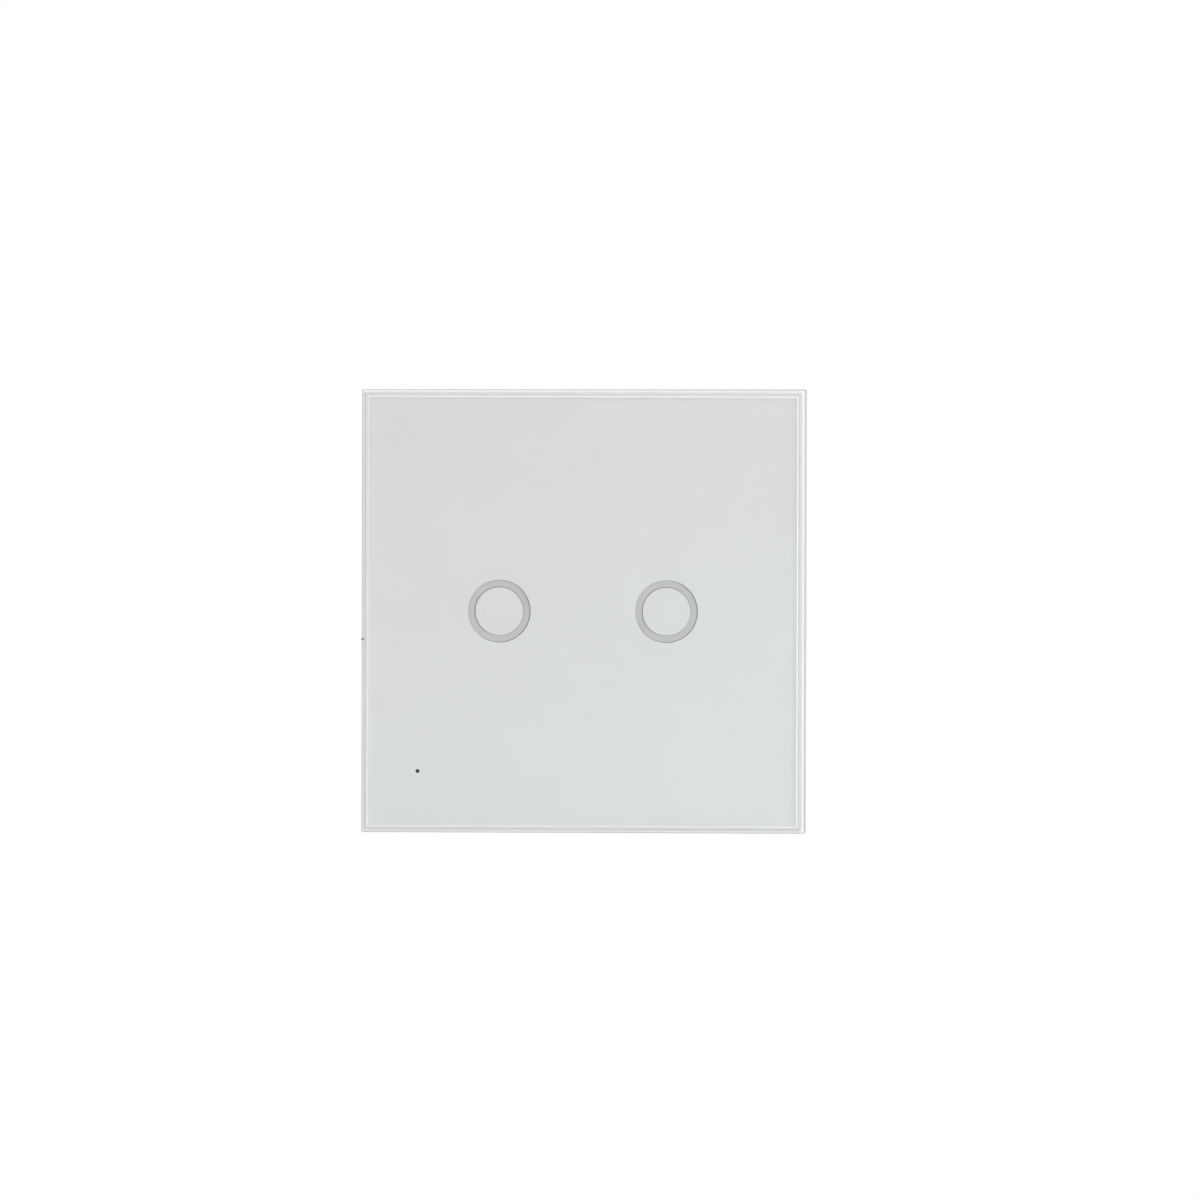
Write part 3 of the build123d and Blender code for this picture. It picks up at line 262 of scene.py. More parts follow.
def wound(name, colour, pitch, axis, rough, metallic, dark):
    """Closely laid turns: a fine wave across the winding, with lacquer over it. The hollows between turns
    are painted darker, painted shade, and the crests lighter, a painted highlight.
    """
    material, tree, body, _ = shader_tree(name)
    place = coordinates(tree)
    turns = waves(tree, place, axis, pitch, 0.6, 1.0)
    # Painted shade in the hollows between turns and a painted highlight on their crests.
    tint = ramp(tree, turns, [(0.1, shade(colour, dark)), (0.6, colour), (1.0, shade(colour, 1.15))])
    gloss = spread(tree, noise(tree, place, 1.5 * mm), rough * 0.8, rough * 1.3)
    surface(tree, body, tint, gloss, bump(tree, turns, 0.6, pitch * 0.3 * mm))
    fill_in(tree, body, {"Metallic": metallic})
    lacquer(tree, body, 0.4, 0.15)
    return material


def pass_lamp_light(tree, body, out, tint):
    """Glass and its ground edges let lamp light through to what lies behind them."""
    path = tree.nodes.new("ShaderNodeLightPath")
    through = add_node(tree, "ShaderNodeBsdfTransparent", {0: tint})
    blend(tree, out, path.outputs["Is Shadow Ray"], body, through)


def clear_glass(name):
    """Clear glass that lets lamp light through to the print, with faint wipe marks in its gloss."""
    material, tree, body, out = shader_tree(name)
    wipes = noise(tree, coordinates(tree, (1.0, 1.0, 3.0)), 14.0 * mm, 4.0)
    gloss = spread(tree, wipes, 0.0, 0.02, 0.35, 0.65)
    fill_in(tree, body, {"Base Color": (0.985, 0.99, 0.988, 1.0), "Roughness": gloss, "IOR": 1.5})
    fill_in(tree, body, {"Transmission Weight": 1.0, "Specular IOR Level": 0.2})
    pass_lamp_light(tree, body, out, (0.93, 0.95, 0.94, 1.0))
    return material


def seamed(name, colour):
    """Ground and polished edge line of the glass: milky, with tiny chips in the grinding."""
    material, tree, body, out = shader_tree(name)
    chips = noise(tree, coordinates(tree), 0.35 * mm, 4.0)
    tint = ramp(tree, chips, [(0.3, shade(colour, 0.94)), (0.65, colour)])
    surface(tree, body, tint, spread(tree, chips, 0.28, 0.5), bump(tree, chips, 0.1, 0.004 * mm))
    pass_lamp_light(tree, body, out, (0.9, 0.92, 0.91, 1.0))
    return material


def bonded(name):
    """Back of the glass where the print is fired on: nothing there reflects or bends light."""
    material, tree, body, _ = shader_tree(name)
    fine = noise(tree, coordinates(tree), 0.4 * mm, 3.0)
    tint = ramp(tree, fine, [(0.3, (0.96, 0.965, 0.96)), (0.7, (0.99, 0.99, 0.99))])
    fill_in(tree, body, {"Base Color": tint, "Roughness": spread(tree, fine, 0.4, 0.5), "Alpha": 0.0})
    return material


def striped_sleeve(name, colour, stripe, centre, half_share):
    """Shrink sleeve of a capacitor with its pale side band, whose half width is a share of half a turn."""
    material, tree, body, _ = shader_tree(name)
    place = coordinates(tree)
    parts = split(tree, place)
    across = arithmetic(tree, "SUBTRACT", parts["X"], centre.x)
    upward = arithmetic(tree, "SUBTRACT", parts["Z"], centre.z)
    turn = arithmetic(tree, "ABSOLUTE", arithmetic(tree, "ARCTAN2", upward, across))
    share = arithmetic(tree, "DIVIDE", turn, math.pi)
    band = ramp(tree, share, [(half_share, stripe), (half_share + 0.01, colour)])
    gloss = spread(tree, noise(tree, place, 0.5 * mm, 3.0), 0.24, 0.38)
    surface(tree, body, band, gloss, bump(tree, noise(tree, place, 3.0 * mm), 0.25, 0.05 * mm))
    return material


glass = clear_glass("tempered_glass")
glass_back_bond = bonded("glass_back_bond")
glass_line = seamed("glass_seam", (0.88, 0.89, 0.885))
# Grey of the outer ground facet: painted shade for the dark line at the glass edge.
glass_rim_shade = seamed("glass_rim_shade", (0.66, 0.675, 0.665))
# Print tones: the darker upper-left and lighter lower-right ends are painted light.
white_print = printed("ceramic_print", (0.725, 0.737, 0.728), (0.778, 0.791, 0.8), 0.5)
bonding = moulded("milky_adhesive", (0.78, 0.78, 0.75), 0.45, 0.03, 0.5, 0.03)
# Front white, painted shade on the outer edge, and a skirt grey that is partly painted shade.
bezel_tones_and_shade = ((0.87, 0.875, 0.87), (0.47, 0.47, 0.48), (0.68, 0.68, 0.68))
white_plastic = bezel("bezel_plastic", *bezel_tones_and_shade, reach=42.72, lip=-6.0)
housing_plastic = moulded("housing_plastic", (0.8, 0.8, 0.78), 0.46, 0.02, 0.3, 0.02)
opal = moulded("opal_guide", (0.6, 0.612, 0.592), 0.42, 0.012, 0.35, 0.006)
# Grey of the shadow rings: painted shadow at one side of each light window.
ring_shadow_paint = moulded("ring_shadow_paint", (0.27, 0.27, 0.26), 0.6, 0.1, 0.3, 0.004)
# Near-black of the nick blocks: painted shade.
gap_shadow = moulded("nick_shade_paint", (0.16, 0.16, 0.17), 0.8, 0.2, 0.2, 0.02)
ceramic = moulded("chip_ceramic", (0.42, 0.31, 0.2), 0.5, 0.06, 0.2, 0.01)
rubber = moulded("seal_rubber", (0.03, 0.028, 0.026), 0.8, 0.15, 0.2, 0.03)
aluminium = metal("can_aluminium", (0.8, 0.8, 0.79), 0.3, 0.06, (1, 1, 6))
smoked = moulded("smoked_guide", (0.006, 0.006, 0.007), 0.2, 0.1, 0.4, 0.003)
dot_black = moulded("bonded_dot", (0.003, 0.003, 0.0035), 0.5, 0.1, 0.4, 0.003)
dot_black.node_tree.nodes["Principled BSDF"].inputs["Specular IOR Level"].default_value = 0.0
green_board = resist("green_resist", (0.014, 0.12, 0.05))
green_trace = resist("green_trace", (0.03, 0.21, 0.085))
black_board = resist("black_resist", (0.016, 0.018, 0.02))
black_trace = resist("black_trace", (0.042, 0.046, 0.05))
foam = moulded("conductive_foam", (0.035, 0.035, 0.037), 0.9, 0.15, 0.12, 0.09)
lens = moulded("diode_lens", (0.86, 0.8, 0.5), 0.16, 0.05, 0.3, 0.004, 0.5)
chip = moulded("chip_compound", (0.028, 0.028, 0.031), 0.55, 0.08, 0.1, 0.012)
black_plastic = moulded("black_plastic", (0.03, 0.03, 0.032), 0.42, 0.08, 0.25, 0.015)
blue_case = moulded("relay_case_plastic", (0.035, 0.1, 0.42), 0.3, 0.05, 0.35, 0.012, 0.2)
yellow_case = moulded("capacitor_case", (0.72, 0.5, 0.05), 0.32, 0.04, 0.3, 0.01, 0.2)
terminal_plastic = moulded("terminal_plastic", (0.09, 0.1, 0.11), 0.45, 0.06, 0.28, 0.016)
ferrite = moulded("ferrite", (0.045, 0.045, 0.05), 0.62, 0.14, 0.12, 0.02)
varistor_coat = moulded("varistor_coat", (0.02, 0.09, 0.34), 0.4, 0.1, 0.9, 0.08, 0.15)
tinned = metal("tinned_steel", (0.72, 0.72, 0.7), 0.34, 0.08, (1, 1, 8))
copper = metal("copper_trace", (0.72, 0.36, 0.2), 0.3, 0.1)
gold = metal("gold_plate", (0.83, 0.62, 0.28), 0.24, 0.06, (1, 8, 1))
zinc = metal("zinc_plate", (0.62, 0.63, 0.64), 0.3, 0.1, (1, 1, 1), 0.2)
spring = metal("spring_steel", (0.6, 0.6, 0.61), 0.26, 0.06, (8, 1, 1), 0.08)
nickel = metal("nickel_iron", (0.58, 0.57, 0.54), 0.3, 0.08, (1, 1, 6))
brass = metal("nickel_brass", (0.68, 0.63, 0.5), 0.3, 0.1, (1, 6, 1))
alloy = metal("contact_alloy", (0.74, 0.46, 0.24), 0.28, 0.12, (1, 1, 8))
solder = metal("solder", (0.66, 0.67, 0.68), 0.2, 0.12, (1, 1, 1), 0.5)
coil_wire = wound("coil_wire", (0.5, 0.15, 0.05), 0.16, "Y", 0.28, 0.6, 0.45)
tape = wound("transformer_tape", (0.74, 0.54, 0.09), 2.4, "X", 0.34, 0.0, 0.82)

finish_groups = (
    (glass, "glass_panel"),
    (white_print, "back_print"),
    (bonding, "adhesive_sheet"),
    (white_plastic, "panel_frame"),
    (opal, "light_ring_left light_ring_right"),
    (smoked, "indicator_light_pipe"),
    (black_board, "touch_board radio_board"),
    (green_board, "power_board"),
    (foam, "touch_pads"),
    (lens, "ring_leds indicator_led"),
    (chip, "touch_controller fuse bridge_rectifier converter_chip"),
    (tinned, "radio_shield"),
    (copper, "radio_antenna"),
    (gold, "header_pins"),
    (black_plastic, "header_strip header_socket relay_bases relay_bobbins transformer_bobbin"),
    (zinc, "panel_screws housing_screws"),
    (housing_plastic, "base_plate rear_housing"),
    (spring, "retaining_clips"),
    (blue_case, "relay_cases"),
    (coil_wire, "relay_coils"),
    (nickel, "relay_cores relay_yokes relay_armature_left relay_armature_right"),
    (alloy, "relay_fixed_contacts contact_spring_left contact_spring_right"),
    (ferrite, "transformer_core"),
    (tape, "transformer_winding"),
    (yellow_case, "suppression_capacitor"),
    (varistor_coat, "varistor"),
    (terminal_plastic, "terminal_housing"),
    (brass, "terminal_tongues"),
)
finish = {name: material for material, names in finish_groups for name in names.split()}
for number in (1, 2, 3, 4):
    finish[f"terminal_screw_{number}"] = zinc
    finish[f"clamp_cage_{number}"] = brass

for node_name in ("input_capacitor", "output_capacitor"):
    low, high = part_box(node_name)
    sleeve_name = node_name + "_sleeve"
    finish[node_name] = striped_sleeve(
        sleeve_name, (0.02, 0.022, 0.035), (0.5, 0.52, 0.55), (low + high) / 2, half_share=0.16
    )

for node_name, material in finish.items():
    slots = nodes[node_name].data.materials
    if len(slots) == 0:
        slots.append(material)
    for index in range(len(slots)):
        slots[index] = material
unfinished = sorted(set(nodes) - set(finish))
if unfinished:
    raise SystemExit(f"no finish for {unfinished}")


# Rounded edges on the rigid parts that show, in mm

edge_groups = (
    (0.3, "suppression_capacitor"),
    (0.25, "rear_housing"),
    (0.2, "base_plate transformer_core"),
    (0.15, "relay_bases"),
    (0.12, "panel_frame radio_shield"),
    (0.1, "header_socket header_strip"),
    (0.08, "clamp_cage_1 clamp_cage_2 clamp_cage_3 clamp_cage_4"),
    (0.06, "touch_controller retaining_clips terminal_tongues"),
)
for node_name, size in [(name, size) for size, names in edge_groups for name in names.split()]:
    node = nodes[node_name]
    weld = node.modifiers.new("weld", "WELD")
    weld.merge_threshold = 0.002 * mm
    soften = node.modifiers.new("soften", "BEVEL")
    soften.width = size * mm
    soften.segments = 2
    soften.limit_method = "ANGLE"
    soften.angle_limit = math.radians(35)
    flatten = node.modifiers.new("flatten", "WEIGHTED_NORMAL")
    flatten.keep_sharp = True


# Pieces made in mesh code, in mm


def round_angles(steps):
    return [math.tau * step / steps for step in range(steps)]


def oval(x, z, reach_x, reach_z, y, steps):
    """Points round an ellipse, in one plane of y."""
    angles = round_angles(steps)
    return [(x + reach_x * math.cos(angle), y, z + reach_z * math.sin(angle)) for angle in angles]


def rounded_outline(half_x, half_z, corner, y, middle=(0.0, 0.0), steps=6):
    """Points round a rectangle with rounded corners, in one plane of y."""
    points = []
    for turn in range(4):
        for step in range(steps + 1):
            angle = math.pi / 2 * (turn + step / steps)
            centre_x = middle[0] + (half_x - corner) * (1 if turn in (0, 3) else -1)
            centre_z = middle[1] + (half_z - corner) * (1 if turn in (0, 1) else -1)
            points.append((centre_x + corner * math.cos(angle), y, centre_z + corner * math.sin(angle)))
    return points


def off_arm(angle):
    """The angle between a direction and the nearest arm of a cross."""
    return abs((angle + math.pi / 4) % (math.pi / 2) - math.pi / 4)


class Shape:
    """Points, faces and the number of each face's material, gathered from simple forms along y."""

    def __init__(self):
        self.points = []
        self.faces = []
        self.fills = []

    def add(self, points, faces, fills):
        start = len(self.points)
        self.points.extend(points)
        self.faces.extend(tuple(start + index for index in face) for face in faces)
        self.fills.extend(fills)

    def block(self, low, high, edge, fill=0):
        """A block with rounded edges."""
        work = bmesh.new()
        bmesh.ops.create_cube(work, size=1.0)
        for vertex in work.verts:
            for axis in range(3):
                vertex.co[axis] = (low[axis] + high[axis]) / 2 + vertex.co[axis] * (high[axis] - low[axis])
        bmesh.ops.bevel(work, geom=work.edges[:], offset=edge, segments=2, affect="EDGES", profile=0.5)
        work.verts.index_update()
        points = [tuple(vertex.co) for vertex in work.verts]
        faces = [tuple(vertex.index for vertex in face.verts) for face in work.faces]
        self.add(points, faces, [fill] * len(faces))
        work.free()

    def turned(self, profile, x, z, steps=24, fill=0, angles=None):
        """Turns (radius, y) points about the line through x and z. A radius of zero closes the end.
        A radius may be a list with one value for each angle."""
        angles = angles or round_angles(steps)
        points = []
        rows = []
        for radius, y in profile:
            if radius == 0:
                rows.append([len(points)] * len(angles))
                points.append((x, y, z))
                continue
            reaches = radius if isinstance(radius, list) else [radius] * len(angles)
            rows.append(range(len(points), len(points) + len(angles)))
            for angle, reach in zip(angles, reaches):
                points.append((x + reach * math.cos(angle), y, z + reach * math.sin(angle)))
        faces = []
        for lower, upper in zip(rows, rows[1:]):
            for step in range(len(angles)):
                after = (step + 1) % len(angles)
                corners = dict.fromkeys((lower[step], lower[after], upper[after], upper[step]))
                if len(corners) > 2:
                    faces.append(tuple(corners))
        self.add(points, faces, [fill] * len(faces))

    def loft(self, rows, bands=None, near=0, closed=False):
        """Joins rows of equal length into a skin, whose bands and near end may have fills of their own.
        A face closes each end, or a last band where the skin runs back to its first row."""
        size = len(rows[0])
        ends = len(rows) if closed else len(rows) - 1
        faces = []
        fills = []
        for row in range(ends):
            lower, upper = row * size, (row + 1) % len(rows) * size
            for step in range(size):
                after = (step + 1) % size
                faces.append((lower + step, lower + after, upper + after, upper + step))
                fills.append((bands or {}).get(row, 0))
        if not closed:
            faces += [tuple(range(size)), tuple(range(ends * size, len(rows) * size))]
            fills += [near, 0]
        self.add([point for row in rows for point in row], faces, fills)

    def thread(self, x, z, start, end, radius, pitch, depth):
        """A screw thread from start to end along y, with its ends closed."""
        steps = 20
        rows_per_turn = 6
        count = max(2, int(abs(end - start) / pitch * rows_per_turn))
        profile = [(0, start)]
        for row in range(count + 1):
            y = start + (end - start) * row / count
            fade = min(1.0, 6.0 * row / count, 8.0 * (count - row) / count)
            phases = [(abs(y - start) / pitch - step / steps) % 1.0 for step in range(steps)]
            heights = [1.0 - abs(2.0 * phase - 1.0) for phase in phases]
            profile.append(([radius - depth + depth * height * fade for height in heights], y))
        self.turned(profile + [(0, end)], x, z, steps)

    def leg(self, x, z, out, level, board, reach=1.1, width=0.42):
        """A bent chip leg that leaves the case along out, an (x, z) direction, and ends on the board."""
        rise = 1 if level > board else -1
        thick = 0.15
        half = width / 2
        foot = board + rise * (thick + 0.01)
        rows = []
        for ahead, y in ((-0.1, level), (reach * 0.32, level), (reach * 0.5, foot), (reach, foot)):
            row = []
            for side, drop in ((-half, 0.0), (half, 0.0), (half, thick), (-half, thick)):
                across = x + out[0] * ahead - out[1] * side
                upward = z + out[1] * ahead + out[0] * side
                row.append((across, y - rise * drop, upward))
            rows.append(row)
        self.loft(rows)

    def passive(self, board, facing, x, z, upright, length, width, height, fill):
        """A surface part: its body between two tinned ends, which stand a little proud of it."""
        half = length / 2
        cap = length * 0.22
        inset = 0.03

        def part(start, end, side, low, high, edge, kind):
            near, far = sorted((board + facing * low, board + facing * high))
            if upright:
                self.block((x - side, near, z + start), (x + side, far, z + end), edge, kind)
            else:
                self.block((x + start, near, z - side), (x + end, far, z + side), edge, kind)

        part(cap - half, half - cap, width / 2 - inset, inset, height - inset, 0.03, fill)
        part(-half, cap - half, width / 2, 0.0, height, 0.05, 0)
        part(half - cap, half, width / 2, 0.0, height, 0.05, 0)

    def cross_head(self, x, z, seat, top, radius, arm, half_width, depth, dome):
        """A screw head with a cross recess in its top, which lies towards the back of the switch."""
        corner = math.degrees(math.atan2(half_width, arm))
        part = [0.0, corner * 0.5, corner, (corner + 45) / 2, 45.0]
        part += [90.0 - angle for angle in reversed(part[1:-1])]
        angles = [math.radians(90.0 * turn + angle) for turn in range(4) for angle in part]
        cross = []
        for angle in angles:
            slant = off_arm(angle)
            reach = arm / math.cos(slant)
            if slant > 0.01:
                reach = min(reach, half_width / math.sin(slant))
            cross.append(reach)
        profile = [
            (0, seat),
            (radius - 0.1, seat),
            (radius, seat + 0.1),
            (radius, top - dome - 0.12),
            (radius - 0.12, top - dome),
            ((arm + radius) / 2, top - dome * 0.35),
            (cross, top),
            ([reach * 0.95 for reach in cross], top - 0.06),
            ([reach * 0.6 for reach in cross], top - depth),
            (0, top - depth * 1.15),
        ]
        self.turned(profile, x, z, angles=angles)

    def track(self, route, width, low_y, high_y):
        """A flat strip of even width that follows (x, z) points, from low_y to high_y."""
        rows = []
        for index, (x, z) in enumerate(route):
            before = Vector(route[max(0, index - 1)])
            here = Vector((x, z))
            after = Vector(route[min(len(route) - 1, index + 1)])
            enter = (here - before).normalized() if index else (after - here).normalized()
            leave = (after - here).normalized() if index < len(route) - 1 else enter
            ahead = (enter + leave).normalized()
            reach = width / 2 / max(0.5, ahead.dot(enter))
            left = (x - ahead.y * reach, z + ahead.x * reach)
            right = (x + ahead.y * reach, z - ahead.x * reach)
            sides = ((left, low_y), (right, low_y), (right, high_y), (left, high_y))
            rows.append([(across, y, upward) for (across, upward), y in sides])
        self.loft(rows)

    def fillet(self, x, z, half_x, half_z, board, tip):
        """Solder that climbs a lead from the board towards its tip."""
        lead_room = 1.2
        rows = []
        for spare, share in ((0.5, 0.0), (0.44, 0.1), (0.24, 0.3), (0.1, 0.58), (0.03, 0.8)):
            reach_x, reach_z = half_x * lead_room + spare, half_z * lead_room + spare
            rows.append(oval(x, z, reach_x, reach_z, board + (tip - board) * share, 16))
        self.loft(rows)

    def hoop(self, outer, inner, low_y, high_y, steps, shift=(0.0, 0.0)):
        """A flat ring between an outer circle (x, z, radius) and an inner one, which may be shifted."""
        x, z, edge = outer
        rows = []
        for reach, y, moved in ((edge, low_y, 0), (inner, low_y, 1), (inner, high_y, 1), (edge, high_y, 0)):
            rows.append(oval(x + moved * shift[0], z + moved * shift[1], reach, reach, y, steps))
        self.loft(rows, closed=True)

    def build(self, name, materials, body, crease=32.0):
        """The finished piece. Edges sharper than the crease angle stay crisp, and those of wide ends."""
        mesh = bpy.data.meshes.new(name)
        mesh.from_pydata([tuple(value * mm for value in point) for point in self.points], [], self.faces)
        for material in materials:
            mesh.materials.append(material)
        for polygon, fill in zip(mesh.polygons, self.fills):
            polygon.material_index = fill
        work = bmesh.new()
        work.from_mesh(mesh)
        bmesh.ops.recalc_face_normals(work, faces=work.faces[:])
        for face in work.faces:
            face.smooth = True
        for edge in work.edges:
            gentle = len(edge.link_faces) == 2 and edge.calc_face_angle(0.0) < math.radians(crease)
            edge.smooth = gentle and all(len(face.verts) < 9 for face in edge.link_faces)
        work.to_mesh(mesh)
        work.free()
        piece = bpy.data.objects.new(name, mesh)
        scene.collection.objects.link(piece)
        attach(piece, body)
        return piece


# The glass plate: polished bevel all round with a fine ground line at each of its edges, and a grey outer
# facet, painted shade for the dark line along the glass edge.
# The print is fired on its back, so no air lies between them and that face doesn't reflect.

low, high = box_mm("glass_panel")
glass_half = high.x
glass_front = low.y
glass_back = high.y - 0.02
bevel_width = 0.8
bevel_depth = 0.62
line_width = 0.17
rim_width = 0.42
levels = [
    (glass_half - 0.12, 0.22, glass_back),
    (glass_half, 0.3, glass_back - 0.12),
    (glass_half, 0.3, glass_front + bevel_depth),
    (glass_half - rim_width, 0.2, glass_front + bevel_depth - 0.35),
    (glass_half - bevel_width + line_width * 0.6, 0.14, glass_front + 0.11),
    (glass_half - bevel_width, 0.1, glass_front + 0.03),
    (glass_half - bevel_width - line_width * 0.6, 0.08, glass_front),
]
plate = Shape()
outlines = [rounded_outline(half, half, corner, y) for half, corner, y in levels]
plate.loft(outlines, bands={0: 1, 2: 2, 4: 1, 5: 1}, near=3)
glass_fills = [glass, glass_line, glass_rim_shade, glass_back_bond]
glass_piece = plate.build("glass_plate", glass_fills, "front_panel", 18.0)
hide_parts("glass_panel")


# Painted shadow round the light guides: shifted grey rings whose edges show as a fine line at one side of
# each window, where shade falls into the recess, and the dark dot on the back of the glass

guide_front = box_mm("light_ring_left")[0].y
for side in ("left", "right"):
    low, high = box_mm(f"light_ring_{side}")
    middle = (low + high) / 2
    mask_and_shadow = Shape()
    # Each hoop is painted shadow, shifted so its edge peeks out at one side.
    for edge, inner, shift in ((6.3, 5.96, (-0.1, 0.03)), (4.36, 4.72, (-0.05, 0.05))):
        mask_and_shadow.hoop((middle.x, middle.z, edge), inner, guide_front - 0.06, guide_front - 0.01, 96, shift)
    mask_and_shadow.build(f"painted_ring_shadow_{side}", [ring_shadow_paint], "front_panel")

low, high = box_mm("indicator_light_pipe")
print_front = box_mm("back_print")[0].y
dot_radius = 0.38
stem_radius = 0.26
dot_back = print_front - 0.002
dot_profile = [
    (0, print_front - 0.012), (dot_radius - 0.03, print_front - 0.012), (dot_radius, print_front - 0.008),
    (dot_radius, dot_back), (stem_radius, dot_back), (stem_radius, low.y - 0.01), (0, low.y - 0.01),
]
dot = Shape()
dot.turned(dot_profile, (low.x + high.x) / 2, (low.z + high.z) / 2, 32)
dot.build("indicator_dot", [dot_black], "front_panel")


# The frame's corners are crisper than its shell, whose rounding these four fill out

frame_low, frame_high = box_mm("panel_frame")
frame_half = frame_high.x
crisp = 0.22
sunk = 0.04
shell_levels = [
    (frame_half - 0.6, 0.4, frame_low.y + 0.005),
    (frame_half - 0.15, 0.8, frame_low.y + 0.45),
    (frame_half, 0.8, frame_high.y - 0.005),
]
frame_corners = Shape()
for across, upward in ((1, 1), (-1, 1), (-1, -1), (1, -1)):
    rows = []
    for half, rounding, y in shell_levels:
        centre = half - rounding
        inner = rounding - sunk
        line = [(half, centre)]
        for step in range(7):
            angle = math.pi / 12 * step
            line.append((half - crisp + crisp * math.cos(angle), half - crisp + crisp * math.sin(angle)))
        line.append((centre, half))
        for step in range(8):
            angle = math.pi / 14 * (7 - step)
            line.append((centre + inner * math.cos(angle), centre + inner * math.sin(angle)))
        rows.append([(across * x, y, upward * z) for x, z in line])
    frame_corners.loft(rows)
frame_corners.build("frame_corners", [white_plastic], "front_panel", 28.0)


# The small nick in the bezel's left edge: dark blocks, painted shade for the shadow inside the nick

left_edge = frame_low.x
frame_front = frame_low.y
nick = Shape()
for start, end, near, far, bottom, top, edge in (
    (0.05, 0.42, 0.02, 0.3, -5.62, -5.42, 0.04),
    (0.3, 0.72, -0.015, 0.2, -5.6, -5.45, 0.03),
):
    low_corner = (left_edge + start, frame_front + near, bottom)
    nick.block(low_corner, (left_edge + end, frame_front + far, top), edge)
nick.build("edge_nick", [gap_shadow], "front_panel")


# Screws: cross recesses and threads

for number in (1, 2, 3, 4):
    low, high = box_mm(f"terminal_screw_{number}")
    middle = (low + high) / 2
    seat = high.y - 1.5
    head = (seat, high.y, (high.x - low.x) / 2)
    screw = Shape()
    screw.cross_head(middle.x, middle.z, *head, arm=1.45, half_width=0.36, depth=0.75, dome=0.25)
    screw.thread(middle.x, middle.z, low.y, seat + 0.05, radius=1.45, pitch=0.7, depth=0.2)
    piece = screw.build(f"terminal_screw_body_{number}", [zinc], f"terminal_screw_{number}")
    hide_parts(f"terminal_screw_{number}")

low, high = box_mm("panel_screws")
head_radius = 1.7
seat = high.y - 1.1
screws = Shape()
for x, z in ((low.x + head_radius, high.z - head_radius), (high.x - head_radius, low.z + head_radius)):
    screws.cross_head(x, z, seat, high.y, head_radius, arm=1.0, half_width=0.24, depth=0.6, dome=0.3)
    screws.thread(x, z, low.y, seat + 0.05, radius=0.8, pitch=0.5, depth=0.16)
piece = screws.build("panel_screw_set", [zinc], "front_panel")
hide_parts("panel_screws")

low, high = box_mm("housing_screws")
head_radius = 2.2
shank_radius = 1.1
neck_radius = 0.9
seat = high.y - 1.6
thread_end = low.y + 12.0
shank = [
    (0, thread_end - 0.1), (neck_radius, thread_end - 0.1), (shank_radius, thread_end + 0.3),
    (shank_radius, seat + 0.05), (0, seat + 0.05),
]
screws = Shape()
for x, z in ((low.x + head_radius, high.z - head_radius), (high.x - head_radius, low.z + head_radius)):
    screws.cross_head(x, z, seat, high.y, head_radius, arm=1.35, half_width=0.34, depth=0.8, dome=0.35)
    screws.thread(x, z, low.y, thread_end, shank_radius, pitch=0.75, depth=0.2)
    screws.turned(shank, x, z)
piece = screws.build("housing_screw_set", [zinc], "base")
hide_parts("housing_screws")


# Relay cases: thin moulded covers with a framed top, a vent nib and a step round the foot

low, high = box_mm("relay_cases")
case_width = 15.5
wall = 0.8
hinge_wall = 0.62
foot = low.y + 0.02
rim = high.y - 0.02
half_x, half_z = case_width / 2, (high.z - low.z) / 2
inner_x, inner_z = half_x - wall, half_z - (wall + hinge_wall) / 2
skin = [
    (0.05, 0.6, foot),
    (0.0, 0.65, low.y + 0.1),
    (0.0, 0.65, low.y + 1.2),
    (0.12, 0.6, low.y + 1.35),
    (0.12, 0.6, high.y - 0.45),
    (0.22, 0.55, high.y - 0.16),
    (0.5, 0.45, rim),
    (1.1, 0.4, rim),
    (1.25, 0.35, high.y - 0.2),
]
nib = [
    (0, high.y - 0.25), (0.75, high.y - 0.25), (0.75, high.y - 0.06), (0.62, high.y),
    (0.36, high.y), (0.3, high.y - 0.2), (0, high.y - 0.2),
]
nib_inset = 3.0
covers = Shape()
for side in (-1, 1):
    x = side * (high.x - half_x)
    z = (low.z + high.z) / 2
    hollow = (x, z + (wall - hinge_wall) / 2)
    rows = [rounded_outline(inner_x, inner_z, 0.25, y, hollow, 4) for y in (high.y - wall, foot)]
    for inset, corner, y in skin:
        rows.append(rounded_outline(half_x - inset, half_z - inset, corner, y, (x, z), 4))
    covers.loft(rows)
    covers.turned(nib, x - side * (half_x - nib_inset), z - half_z + nib_inset, 20)
piece = covers.build("relay_covers", [blue_case], "base", 40.0)
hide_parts("relay_cases")


# Capacitor cans: sleeve with a rolled groove, rubber seal, scored aluminium top and leads


